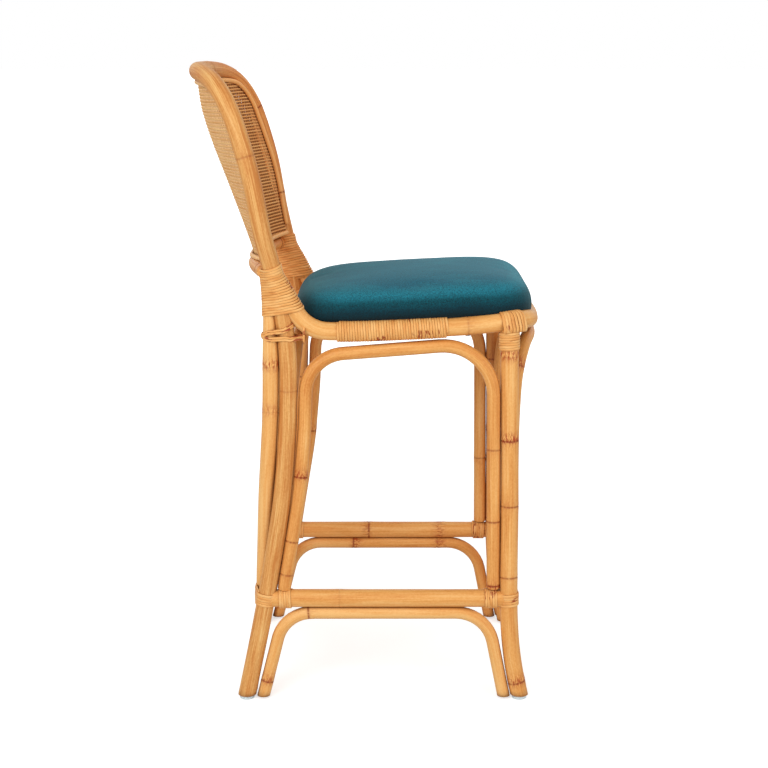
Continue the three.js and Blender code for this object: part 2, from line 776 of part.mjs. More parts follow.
/** How far the cane lies behind the back surface: nailed well forward at the edge, hanging back inside. */
function caneDepth(x, z) {
  const edge = -8.5 + 2 * smoothstep(z, hoopTop - 200, hoopTop - 50);
  const belly = 3.8 + 5 * smoothstep(z, hoopTop - 180, hoopTop - 35) - 6 * smoothstep(z, hoopTop - 68, hoopTop - 5);
  const reach = (hoopHalfWidth - poleRadius) * (1 - 0.25 * smoothstep(z, hoopTop - 90, hoopTop - 25));
  return lerp(edge, belly, Math.max(0, 1 - (x / reach) ** 2));
}
const caneInset = poleRadius + 0.5;
const railTopAt = (x) => (
  bottomRailLine.getPoint(0.5 - 0.25 * Math.abs(x) / bottomRailSideX).z + bottomRailRadius);
const caneColumns = 10;

/** A point at some depth behind the back surface, square to it. */
function offBack(x, z, depth) {
  const step = 0.5;
  const across = backSurface(x + step, z).sub(backSurface(x - step, z));
  const up = backSurface(x, z + step).sub(backSurface(x, z - step));
  return backSurface(x, z).addScaledVector(up.cross(across).normalize(), depth);
}

/** The heights of the cane's rows, as places on the arch; the first two lie below the spring. */
const caneRows = [-0.98, -0.85, -0.72, -0.6, -0.48, -0.36, -0.24, -0.12].map((t) => insideHoop(t, caneInset));
const lowRows = [0, 0.5].map((share) => {
  const z = lerp(backStart - 8, backStart + 47, share);
  const x = -Math.abs(hoopAt(z).x) + caneInset + 4 * (1 - share);
  return vec(x, 0, z);
});

function canePanel() {
  const rings = [...lowRows, ...caneRows].map((edge, row) => {
    const across = Array.from({ length: caneColumns + 1 }, (_, i) => lerp(edge.x, -edge.x, i / caneColumns));
    const side = (y) => across.map((x) => {
      const z = row === 0 ? railTopAt(x) + 2 : edge.z;
      return offBack(x, z, caneDepth(x, z) + y);
    });
    return [...side(-caneThickness / 2), ...side(caneThickness / 2).reverse()];
  });
  return loft(rings, strip(caneColumns + 1));
}

/** A solid prism along Y through the back, from an outline in X and Z that runs anticlockwise from in front. */
function prismThroughBack(outline) {
  const reach = 4 * backBow;
  const ring = (y) => outline.map((p) => vec(p.x, y, p.z));
  const caps = THREE.ShapeUtils.triangulateShape(outline.map((p) => new THREE.Vector2(p.x, p.z)), []);
  return loft([ring(uprightStartY + reach), ring(uprightStartY - reach)], caps);
}

/** The openings of the weave, as an even grid that stops short of the panel's edge. */
function caneOpenings() {
  const pitch = (2 * (hoopHalfWidth - caneInset - caneBorder)) / caneColumns;
  const inset = caneInset + caneBorder;
  const leftEdge = [
    ...[backStart + 8, backStart + 47].map((z) => vec(-Math.abs(hoopAt(z).x) + inset, 0, z)),
    ...[-0.98, -0.85, -0.72, -0.6, -0.48, -0.36, -0.2].map((t) => insideHoop(t, inset)),
  ];
  leftEdge[0].z = railTopAt(leftEdge[0].x) + caneBorder;
  const inside = toSolid(prismThroughBack([...leftEdge.map(mirrored), ...leftEdge.reverse()]));
  const rows = Math.round((hoopTop - backStart) / pitch);
  const opening = new THREE.BoxGeometry(pitch * caneOpenShare, 9 * backBow, pitch * caneOpenShare);
  const boxes = Array.from({ length: caneColumns * rows }, (_, i) => {
    const x = ((i % caneColumns) + 0.5 - caneColumns / 2) * pitch;
    const z = backStart + (Math.floor(i / caneColumns) + 0.5) * pitch;
    return toSolid(opening.clone().translate(x, uprightStartY, z));
  });
  return wasm.Manifold.compose(boxes).intersect(inside);
}
add('cane_panel', toGeometry(toSolid(canePanel()).subtract(caneOpenings())), caneFinish);

const beadSteps = { sides: 6, maxAngle: 0.3, maxRun: 36, symmetric: true, normal: vec(0, 1, 0) };
function bead(offset) {
  const clear = poleRadius + beadRadius + beadGap;
  const place = (edgeAt) => {
    const depthAt = (edge) => caneDepth(edge.x, edge.z) + offset;
    const insetFor = (edge) => Math.sqrt(clear ** 2 - depthAt(edge) ** 2);
    const near = edgeAt(insetFor(edgeAt(caneInset)));
    const edge = edgeAt(insetFor(near));
    return offBack(edge.x, edge.z, depthAt(edge));
  };
  const leftEdge = [
    ...[backStart + 8, backStart + 47].map((z) => (inset) => vec(-Math.abs(hoopAt(z).x) + inset, 0, z)),
    ...[-0.98, -0.85, -0.7, -0.55, -0.4, -0.2].map((t) => (inset) => insideHoop(t, inset)),
  ].map(place);
  return pole(spline([
    ...leftEdge,
    place((inset) => insideHoop(0, inset)),
    ...leftEdge.map(mirrored).reverse(),
  ]), beadRadius, beadSteps);
}
const beadGap = 1.4;
const beadOffset = caneThickness / 2 + beadRadius + 0.8;
add('panel_bead_front', bead(-beadOffset), poleFinish);
add('panel_bead_rear', bead(beadOffset + 1.7), poleFinish);

function bottomBead(depth) {
  const end = Math.abs(hoopAt(backStart + 2).x) - poleRadius - 6;
  const places = [-1, -0.5, 0, 0.5, 1].map((share) => {
    const x = share * end;
    const z = railTopAt(x) + beadRadius + 2.1;
    return offBack(x, z, caneDepth(x, z) + depth);
  });
  return pole(spline(places), beadRadius, beadSteps);
}
add('bottom_bead_front', bottomBead(-beadOffset), poleFinish);
add('bottom_bead_rear', bottomBead(beadOffset + 0.4), poleFinish);

// ---------------------------------------------------------------- seat board, pad and fasteners

const boardSlope = 0.0545;
const boardUnder = (y) => sideRailHeight + 13.8 - (y - 60) * boardSlope;

/** A seat outline with round corners, by angle, as a point in plan. */
function seatOutline(inset, squareness, count) {
  return Array.from({ length: count }, (_, k) => {
    const angle = (k / count) * Math.PI * 2;
    const grow = (value) => Math.sign(value) * Math.abs(value) ** (2 / squareness);
    return new THREE.Vector2(
      (seatHalfWidth - inset) * grow(Math.cos(angle)),
      seatMiddleY + (seatHalfLength - inset) * grow(Math.sin(angle)),
    );
  });
}

const boardFrontY = -205;
function seatBoard(extra) {
  const outline = seatOutline(9 - extra, 4.5, 40).map((p) => (
    new THREE.Vector2(p.x, Math.max(p.y, boardFrontY - extra))));
  const lift = extra > 0 ? -30 : 0;
  const rings = [lift, boardThickness + extra].map((rise) => (
    outline.map((p) => vec(p.x, p.y, boardUnder(p.y) + rise))));
  return loft(rings, fan(outline.length));
}

/** How far the pad's lower edge follows the front rail down. */
const frontDip = (x, y) => 15 * smoothstep(-y, 195, 238) * Math.max(0, 1 - (x / 175) ** 2);

/** The pad's section as [distance in from the widest outline, height over the board's underside]. */
const padSection = [
  [11, 0.5], [3.5, 4], [0, 11], [2.5, 19.5], [9, 29],
  [20, 37.5], [34, 43], [56, 46.5], [85, 48.5], [130, 49.5],
];
function pad() {
  const count = 32;
  const rings = padSection.map(([inset, rise]) => seatOutline(inset, 4, count).map((p) => (
    vec(p.x, p.y, boardUnder(p.y) + rise - frontDip(p.x, p.y) * (1 - rise / 70)))));
  return loft(rings, fan(count));
}
add('cushion', cut(pad(), seatBoard(0.4)), plushFinish);

const railScrewY = seatMiddleY - 0.43 * seatHalfLength;
const screwOffset = 5;           // from the rail's axis towards the middle of the seat
const rearScrewX = 90;
const ringAtScrew = ringLine.getPointAt(ringParam(railScrewY));
const screwPlaces = [
  vec(ringAtScrew.x + screwOffset, railScrewY, ringAtScrew.z - poleRadius),
  vec(-ringAtScrew.x - screwOffset, railScrewY, ringAtScrew.z - poleRadius),
  vec(-rearScrewX, rearRailY, rearRailHeight - rearRailRadius),
  vec(rearScrewX, rearRailY, rearRailHeight - rearRailRadius),
];
const screwDepth = 8;            // how far a screw reaches into the board

const screwHoles = screwPlaces.map((place) => (
  new THREE.CylinderGeometry(screwRadius + seatGap, screwRadius + seatGap, 60, 8)
    .rotateX(Math.PI / 2)
    .translate(place.x, place.y, boardUnder(place.y) + screwDepth + 1 - 30)));

add('seat_ring', cut(
  pole(ringLine, poleRadius, { ...ringSteps, radiusAt: ringTaper }),
  hoopCutter,
  screwHoles[0],
  screwHoles[1],
), poleFinish);
add('seat_rear_rail', cut(
  pole(rearRailLine, rearRailRadius, { maxAngle: 0.25, symmetric: true }),
  screwHoles[2],
  screwHoles[3],
), poleFinish);
add('seat_board', cut(seatBoard(0), ...screwHoles), plywoodFinish);

screwPlaces.forEach((place, i) => {
  const head = place.z - 2.4;
  const tip = boardUnder(place.y) + screwDepth;
  const profile = [
    new THREE.Vector2(0, head),
    new THREE.Vector2(screwHeadRadius - 0.8, head),
    new THREE.Vector2(screwHeadRadius, place.z - seatGap),
    new THREE.Vector2(screwRadius, place.z - seatGap),
    new THREE.Vector2(screwRadius, tip - 2),
    new THREE.Vector2(0, tip),
  ];
  const screw = new THREE.LatheGeometry(profile, 8).rotateX(Math.PI / 2).translate(place.x, place.y, 0);
  add(`seat_screw_${i + 1}`, screw, screwFinish);
});

const glideProfile = [
  new THREE.Vector2(0, 0),
  new THREE.Vector2(glideRadius - 1.2, 0),
  new THREE.Vector2(glideRadius, 1.2),
  new THREE.Vector2(glideRadius - 0.4, glideHeight),
  new THREE.Vector2(0, glideHeight),
];
const glideAt = (curve) => {
  const foot = curve.getPointAt(alongHeight(curve, glideHeight));
  return new THREE.LatheGeometry(glideProfile, 18).rotateX(Math.PI / 2).translate(foot.x, foot.y, 0);
};
addPair('front_glide', glideAt(frontLegLine), glideFinish);
addPair('rear_glide', glideAt({ getPointAt: (t) => hoopLine.getPointAt(t / 2) }), glideFinish);

// ---------------------------------------------------------------- origin under the middle

const extent = new THREE.Box3().setFromObject(model);
const toMiddle = -(extent.min.y + extent.max.y) / 2;
model.children.forEach((mesh) => mesh.geometry.translate(0, toMiddle, 0));

export default model;
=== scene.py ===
"""A counter-height bar stool: bent rattan poles bound with rattan peel, a bowed cane back and a velvet pad.

Lengths in the classes are millimetres in the maker's own layout, with X = 0 as the plane of symmetry. The
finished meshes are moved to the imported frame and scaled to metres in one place, Workshop.place.
"""

from __future__ import annotations

import logging
import math
import sys
from collections.abc import Callable, Sequence
from dataclasses import dataclass, field
from enum import Enum

import bpy
import numpy as np
from mathutils import Matrix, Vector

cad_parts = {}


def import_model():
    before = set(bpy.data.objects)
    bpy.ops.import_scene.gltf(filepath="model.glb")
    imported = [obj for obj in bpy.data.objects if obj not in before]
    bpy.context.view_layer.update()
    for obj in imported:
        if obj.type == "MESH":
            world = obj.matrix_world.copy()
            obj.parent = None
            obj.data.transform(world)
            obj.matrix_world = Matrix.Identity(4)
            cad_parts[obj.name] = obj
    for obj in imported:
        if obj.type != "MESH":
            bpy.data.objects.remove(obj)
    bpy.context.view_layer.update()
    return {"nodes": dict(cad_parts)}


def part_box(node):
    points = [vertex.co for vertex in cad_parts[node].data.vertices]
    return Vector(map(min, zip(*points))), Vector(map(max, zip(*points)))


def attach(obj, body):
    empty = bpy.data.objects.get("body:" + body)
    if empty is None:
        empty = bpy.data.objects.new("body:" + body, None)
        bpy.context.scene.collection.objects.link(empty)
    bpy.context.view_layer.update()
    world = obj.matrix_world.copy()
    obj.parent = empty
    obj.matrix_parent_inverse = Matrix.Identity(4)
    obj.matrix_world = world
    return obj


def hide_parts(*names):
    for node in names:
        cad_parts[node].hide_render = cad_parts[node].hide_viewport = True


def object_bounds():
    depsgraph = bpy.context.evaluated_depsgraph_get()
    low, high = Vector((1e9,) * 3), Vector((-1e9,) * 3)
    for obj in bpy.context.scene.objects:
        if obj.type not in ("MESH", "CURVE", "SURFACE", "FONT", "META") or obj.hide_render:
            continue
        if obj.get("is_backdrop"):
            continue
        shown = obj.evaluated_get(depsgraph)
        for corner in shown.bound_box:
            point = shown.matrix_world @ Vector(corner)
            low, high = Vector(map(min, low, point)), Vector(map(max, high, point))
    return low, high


LOG = logging.getLogger("bar_stool")
MM = 0.001
TURN = 2 * math.pi
Y, Z = 1, 2
STRAND_WIDTH = 4.1
STRAND_THICKNESS = 1.9
Array = np.ndarray
Rgba = tuple[float, float, float, float]


def vec(x: float, y: float, z: float) -> Array:
    """Returns a point or direction as an array."""
    return np.array([x, y, z], float)


def smoothstep(value: Array | float, low: float, high: float) -> Array | float:
    """Returns the smooth rise from 0 at low to 1 at high."""
    t = np.clip((value - low) / (high - low), 0.0, 1.0)
    return t * t * (3 - 2 * t)


def lerp(a: float, b: float, t: Array | float) -> Array | float:
    """Returns the mix of a and b at t."""
    return a + (b - a) * t


def bell(gap: Array, half_width: float) -> Array:
    """Returns 1 where the gap is 0, falling off smoothly to both sides."""
    return np.exp(-((gap / half_width) ** 2))


def unit(v: Array) -> Array:
    """Returns each vector in v scaled to length 1."""
    return v / np.maximum(np.linalg.norm(v, axis=-1, keepdims=True), 1e-12)


def round_angles(count: int) -> Array:
    """Returns evenly spaced angles round a circle."""
    return np.arange(count) / count * 2 * math.pi


def squared(share: Array, squareness: float) -> Array:
    """Returns a sine or cosine bent towards a square's, which squareness 2 leaves round."""
    return np.sign(share) * np.abs(share) ** (2 / squareness)


def distances(points: Array) -> Array:
    """Returns how far along a row of points each of them lies."""
    return np.concatenate([[0.0], np.cumsum(np.linalg.norm(np.diff(points, axis=0), axis=1))])


def mirrored(points: Array) -> Array:
    """Returns the points on the other side of the plane of symmetry."""
    return points * np.array([-1.0, 1.0, 1.0])


def beside(x: float, *places: tuple[float, float, float]) -> list[Array]:
    """Returns points whose first coordinates count from x."""
    return [vec(x + dx, y, z) for dx, y, z in places]


def both_sides(half: Sequence[Array], *middle: Array) -> list[Array]:
    """Returns a half's stations, those in the plane of symmetry and the mirrored half."""
    return [*half, *middle, *(mirrored(p) for p in half[::-1])]


# ---------------------------------------- lines


@dataclass(frozen=True)
class Line:
    """The centre line of a bent pole: close points with their distance along it.

    Attributes:
        points: the line's points, one row each.
        runs: the distance along the line at each point.
    """

    points: Array
    runs: Array

    @classmethod
    def of(cls, points: Sequence[Array], step: float = 5.0) -> Line:
        """Makes a line of short straight steps through these points.

        Args:
            points: one row a point.
            step: the longest step.

        Returns:
            The line.
        """
        points = np.array(points, float)
        points = points[np.concatenate([[True], np.linalg.norm(np.diff(points, axis=0), axis=1) > 1e-9])]
        runs = distances(points)
        fine = [np.linspace(a, b, max(1, math.ceil((b - a) / step)), endpoint=False) for a, b in zip(runs, runs[1:])]
        runs_fine = np.concatenate([*fine, runs[-1:]])
        return cls(np.stack([np.interp(runs_fine, runs, points[:, k]) for k in range(3)], axis=-1), runs_fine)

    @classmethod
    def smooth(cls, stations: Sequence[Array], detail: int = 24) -> Line:
        """Makes a centripetal Catmull-Rom line.

        Args:
            stations: the points that it passes through.
            detail: points in each span.

        Returns:
            The line.
        """
        p = np.array(stations, float)
        p = np.vstack([2 * p[0] - p[1], p, 2 * p[-1] - p[-2]])
        t = np.linspace(0, 1, detail + 1)[:, None]
        spans = []
        for p0, p1, p2, p3 in zip(p, p[1:], p[2:], p[3:]):
            d0, d1, d2 = (math.sqrt(np.linalg.norm(b - a)) for a, b in ((p0, p1), (p1, p2), (p2, p3)))
            m1 = ((p1 - p0) / d0 - (p2 - p0) / (d0 + d1) + (p2 - p1) / d1) * d1
            m2 = ((p2 - p1) / d1 - (p3 - p1) / (d1 + d2) + (p3 - p2) / d2) * d1
            cubic = (2 * p1 - 2 * p2 + m1 + m2) * t**3
            spans.append(p1 + m1 * t + (-3 * p1 + 3 * p2 - 2 * m1 - m2) * t**2 + cubic)
        return cls.of(np.vstack(spans))

    @classmethod
    def bent(cls, corners: Sequence[Array], radii: Sequence[float], detail: int = 18) -> Line:
        """Makes straight runs with a round bend at each inner corner.

        Args:
            corners: the ends and the corners between the runs.
            radii: the radius of each bend.
            detail: points in each bend.

        Returns:
            The line.
        """
        points = [corners[0]]
        t = np.linspace(0, 1, detail + 1)[:, None]
        for last, corner, following, radius in zip(corners, corners[1:], corners[2:], radii):
            before, after = unit(last - corner), unit(following - corner)
            angle = math.acos(float(np.clip(before @ after, -1, 1)))
            reach = radius / math.tan(angle / 2)
            handle = (4 / 3) * math.tan((math.pi - angle) / 4) * radius
            a, d = corner + before * reach, corner + after * reach
            b, c = a - before * handle, d - after * handle
            points.extend((1 - t) ** 3 * a + 3 * (1 - t) ** 2 * t * b + 3 * (1 - t) * t**2 * c + t**3 * d)
        return cls.of([*points, corners[-1]])

    @property
    def length(self) -> float:
        """The length along the line."""
        return float(self.runs[-1])

    def at(self, run: Array | float) -> Array:
        """Returns the points at these distances along the line."""
        return np.stack([np.interp(run, self.runs, self.points[:, k]) for k in range(3)], axis=-1)

    def tangent(self, run: Array | float, step: float = 1.5) -> Array:
        """Returns the directions at these distances, read between a step behind and a step ahead."""
        high, low = np.minimum(run + step, self.length), np.maximum(run - step, 0)
        return unit(self.at(high) - self.at(low))

    def where(self, axis: int, value: float, from_end: bool = False) -> float:
        """Finds the first place where a coordinate passes a value.

        Args:
            axis: 0 for X, 1 for Y or 2 for Z.
            value: the coordinate's value there.
            from_end: whether to look from the far end of the line.

        Returns:
            The distance along the line.
        """
        order = slice(None, None, -1 if from_end else 1)
        coordinates, runs = self.points[order, axis], self.runs[order]
        signs = np.sign(coordinates - value)
        i = int(np.nonzero(signs[1:] != signs[:-1])[0][0])
        a, b = coordinates[i], coordinates[i + 1]
        return float(lerp(runs[i], runs[i + 1], (value - a) / (b - a)))

    def mirror(self) -> Line:
        """Returns the line on the other side of the plane of symmetry."""
        return Line(mirrored(self.points), self.runs)


def carried_frames(tangents: Array, normal: Array) -> tuple[Array, Array]:
    """Carries a cross axis along a line without twist, outwards from its middle.

    Args:
        tangents: the line's directions.
        normal: the cross axis wanted at the middle.

    Returns:
        The normal and the binormal at each place.
    """
    normals = np.zeros_like(tangents)
    middle = len(tangents) // 2
    for order in (range(middle, len(tangents)), range(middle, -1, -1)):
        n = normal
        for i in order:
            n = unit(n - tangents[i] * (n @ tangents[i]))
            normals[i] = n
    return normals, np.cross(tangents, normals)


# ---------------------------------------- meshes


@dataclass
class Form:
    """A mesh in the making.

    Attributes:
        points: its corners in millimetres.
        faces: each face's corners.
        grain: for each corner its place in the straightened pole or strand, in metres.
        marks: for each corner three shares that its finish reads. On a pole they are a node's ring, the stain round it
            and how dark the pole is, partly its own colour and partly painted shade; on cane the painted shade of its
            hollows and front faces and the painted light on its outer side; and on peel, last, its edges.
    """

    points: Array
    faces: list[tuple[int, ...]]
    grain: Array
    marks: Array

    @classmethod
    def lofted(
        cls, rings: Array, grain: Array | None = None, marks: Array | None = None, turned: bool = False
    ) -> Form:
        """Joins rings of as many points each and closes both ends.

        Args:
            rings: the points, as rings by points by 3.
            grain: each point's grain, or None.
            marks: each point's marks, or None.
            turned: whether the rings run the other way round, so that the faces are turned over.

        Returns:
            The closed form.
        """
        count, size = rings.shape[:2]
        faces = [
            (a + k, a + (k + 1) % size, a + size + (k + 1) % size, a + size + k)
            for a in range(0, (count - 1) * size, size)
            for k in range(size)
        ]
        faces += [tuple(range(size))[::-1], tuple(range((count - 1) * size, count * size))]
        if turned:
            faces = [face[::-1] for face in faces]
        blank = np.zeros(rings.shape)
        layers = (rings, blank if grain is None else grain, blank if marks is None else marks)
        points, grain, marks = (layer.reshape(-1, 3) for layer in layers)
        return cls(points, faces, grain, marks)

    @classmethod
    def joined(cls, forms: Sequence[Form]) -> Form:
        """Joins several forms in one mesh.

        Args:
            forms: the forms.

        Returns:
            One form with all their faces.
        """
        starts = np.cumsum([0, *(len(form.points) for form in forms)])
        faces = [tuple(i + int(start) for i in face) for form, start in zip(forms, starts) for face in form.faces]
        points, grain, marks = (np.vstack([getattr(f, name) for f in forms]) for name in ("points", "grain", "marks"))
        return cls(points, faces, grain, marks)

    def mirror(self, shift: float = 3.7) -> Form:
        """Makes the same form on the other side, with a grain of its own.

        Args:
            shift: how far its grain is moved along, in metres.

        Returns:
            The mirrored form.
        """
        faces = [face[::-1] for face in self.faces]
        return Form(mirrored(self.points), faces, self.grain + vec(shift, 0, 0), self.marks)


def swept(
    section: Array, centres: Array, across: Array, outward: Array, half_width: float, height: Array | float
) -> Array:
    """Carries a section along a line.

    Args:
        section: its points, as shares across and outward.
        centres: the line's places.
        across: the direction over the section's width, at each place.
        outward: its outward direction, at each place.
        half_width: what a whole share across is.
        height: what a whole share outward is, at each place or everywhere.

    Returns:
        The points, as rings by points by 3.
    """
    side = section[:, 0][None, :, None] * across[:, None] * half_width
    up = section[:, 1][None, :, None] * outward[:, None] * np.reshape(height, (-1, 1, 1))
    return centres[:, None] + side + up


def grain_of(runs: Array, across: Array, outward: Array, offset: Sequence[float] = (0, 0, 0)) -> Array:
    """Finds where the points of a pole or strand lie in it when it is straightened.

    Args:
        runs: each ring's distance along it, in millimetres.
        across: the place across of each point of a ring.
        outward: its outward place.
        offset: what makes the grain its own, in metres.

    Returns:
        The places in metres, as rings by points by 3.
    """
    layers = np.broadcast_arrays(runs[:, None], across[None], outward[None])
    return np.stack(layers, axis=-1) * MM + np.array(offset)


@dataclass
class Node:
    """A rattan pole's node: the ring where a leaf sheath grew.

    Attributes:
        run: its distance along the pole.
        strength: how dark its ring is, from 0 to 1.
        stain: how much the skin round it is stained, from 0 to 1.
    """

    run: float
    strength: float
    stain: float


def node_places(line: Line, places: Sequence[tuple[float, float, float]], axis: int = Z,
                from_end: bool = False) -> list[Node]:
    """Places nodes on a line by one coordinate.

    Args:
        line: the pole's line.
        places: each node's coordinate, its strength and its stain.
        axis: which coordinate.
        from_end: whether they are looked for from the far end of the line.

    Returns:
        The nodes.
    """
    return [Node(line.where(axis, place, from_end), *looks) for place, *looks in places]


@dataclass
class Pole:
    """One round rattan pole.

    Attributes:
        line: its centre line.
        radius: its radius.
        nodes: its nodes.
        seed: what makes its grain its own.
        taper: the share of the radius at each distance along it, or None.
        floor: the height at which its first end, and its last if both_feet, is cut level, or None.
        both_feet: whether both ends stand on the floor.
        sides: faces round it.
        tone_and_shade: how dark this pole is, from 0 to 1, partly its own colour and partly painted shade and light,
            set pole by pole.
        step: how far apart its rings of points are, away from nodes and ends.
        node_stops, end_stops: where they lie at a node and at an end, counted from it.
        swell, groove: how far a node stands out and how deep its ring is cut, each with its half width.
        round_over: how far an end is rounded inward, and over what run.
        ring_width, stain_width: the half width of a node's dark ring and of the stain round it.
        stain_shift: how far past the ring the stain lies.
    """

    line: Line
    radius: float
    nodes: list[Node] = field(default_factory=list)
    seed: int = 1
    taper: Callable[[Array], Array] | None = None
    floor: float | None = None
    both_feet: bool = False
    sides: int = 32
    tone_and_shade: float = 0.4
    step: float = 9.0
    node_stops: tuple[float, ...] = (-9, -5, -3, -1.8, -0.9, 0, 0.9, 1.8, 3, 5, 9)
    end_stops: tuple[float, ...] = (0, 0.25, 0.8, 1.6)
    swell: tuple[float, float] = (0.35, 7)
    groove: tuple[float, float] = (0.45, 0.9)
    round_over: tuple[float, float] = (1.1, 1.6)
    ring_width: float = 1.6
    stain_width: float = 9.0
    stain_shift: float = 4

    def stops(self) -> Array:
        """Places the rings: even steps, and close ones at each node and end.

        Returns:
            Their distances along the pole.
        """
        length = self.line.length
        clear = self.node_stops[-1] + 2
        runs = [r for r in np.arange(0, length, self.step) if all(abs(r - n.run) > clear for n in self.nodes)]
        runs += [node.run + stop for node in self.nodes for stop in self.node_stops]
        runs += [run for stop in self.end_stops for run in (stop, length - stop)]
        stops = np.unique(np.clip(np.array(runs), 0, length))
        return stops[np.concatenate([[True], np.diff(stops) > 0.2])]

    def radius_at(self, run: Array | float) -> Array:
        """Returns the radius at these distances, without the nodes' rings."""
        share = self.taper(run) if self.taper else 1.0
        return self.radius * share * np.ones_like(run, float)

    def surface_radius(self, run: Array) -> Array:
        """Returns the radius with a faint wave, the swell and groove at each node and the rounded ends.

        Args:
            run: the distances along the pole.

        Returns:
            The radius at each.
        """
        long, short = np.random.default_rng(self.seed).uniform(0, 6.28, 2)
        radius = self.radius_at(run) * (1 + 0.006 * np.sin(run / 61 + long) + 0.004 * np.sin(run / 23 + short))
        for node in self.nodes:
            gap = run - node.run
            radius = radius + self.swell[0] * bell(gap, self.swell[1]) - self.groove[0] * bell(gap, self.groove[1])
        end = np.minimum(run, self.line.length - run)
        return radius - self.round_over[0] * np.sqrt(np.clip(1 - end / self.round_over[1], 0, 1) ** 3)

    def form(self) -> Form:
        """Builds the pole's mesh.

        Returns:
            The mesh, with its standing ends cut level.
        """
        runs = self.stops()
        centres, tangents = self.line.at(runs), self.line.tangent(runs)
        normals, binormals = carried_frames(tangents, vec(0.1, 0.3, 1))
        angles = round_angles(self.sides)
        cos, sin = np.cos(angles), np.sin(angles)
        out = normals[:, None] * cos[None, :, None] + binormals[:, None] * sin[None, :, None]
        rings = centres[:, None] + out * self.surface_radius(runs)[:, None, None]
        keep = np.ones(len(runs), bool)
        if self.floor is not None:
            for end in [0, len(runs) - 1] if self.both_feet else [0]:
                self._stand(rings, tangents, keep, end)
        rings, runs = rings[keep], runs[keep]
        marks = np.zeros(rings.shape)
        for node in self.nodes:
            gap = runs - node.run
            ring = node.strength * bell(gap, self.ring_width)
            stain = node.stain * bell(gap - self.stain_shift, self.stain_width)
            marks[..., :2] = np.maximum(marks[..., :2], np.stack([ring, stain], axis=-1)[:, None])
        # The third mark is how dark the whole pole is: partly its own colour, partly painted shade.
        marks[..., 2] = self.tone_and_shade
        offset = (self.seed * 1.37, self.seed * 0.11, 0)
        return Form.lofted(rings, grain_of(runs, self.radius * cos, self.radius * sin, offset), marks)

    def _stand(self, rings: Array, tangents: Array, keep: Array, end: int) -> None:
        """Cuts one end level with the floor.

        Args:
            rings: the pole's rings, changed in place.
            tangents: the line's direction at each ring.
            keep: which rings stay, changed in place.
            end: the index of the ring at that end.
        """
        last = end
        for i in range(len(rings)) if end == 0 else range(len(rings) - 1, -1, -1):
            if rings[i, :, 2].min() > self.floor + 1.5:
                break
            keep[i] = False
            last = i
        keep[last] = True
        slide = (self.floor - rings[last, :, 2]) / tangents[last, 2]
        rings[last] += slide[:, None] * tangents[last]


STRAND_SECTION = np.array(
    [(-1, 0.0), (-0.99, 0.6), (-0.86, 0.86), (-0.45, 0.98), (0.45, 0.98), (0.86, 0.86), (0.99, 0.6), (1, 0.0)]
)


def ribbon(centres: Array, outward: Array, across: Array, width: float, seed: int, tucked: int = 6) -> Form:
    """Builds a half-round strand of peel laid along a line.

    Args:
        centres: the middle of its flat side.
        outward: the direction away from what it lies on, at each place.
        across: the direction over its width, at each place.
        width: its width.
        seed: what makes its grain and its slight unevenness its own.
        tucked: over how many places each end thins out.

    Returns:
        The strand.
    """
    steps = np.arange(len(centres))
    end = np.minimum(steps, steps[::-1])
    runs = distances(centres)
    knots = np.arange(0, runs[-1] + 90, 45)
    wobble = 1 + 0.07 * np.interp(runs, knots, np.random.default_rng(seed).uniform(-1, 1, len(knots)))
    height = STRAND_THICKNESS * np.clip((end + 1.0) / tucked, 0.25, 1) * wobble
    rings = swept(STRAND_SECTION, centres, across, outward, width / 2, height)
    side, up = STRAND_SECTION.T
    grain = grain_of(runs, side * width / 2, up * STRAND_THICKNESS, (seed * 0.93, 0, seed * 0.017))
    marks = np.zeros(rings.shape)
    marks[..., 2] = np.abs(side)
    return Form.lofted(rings, grain, marks, turned=True)


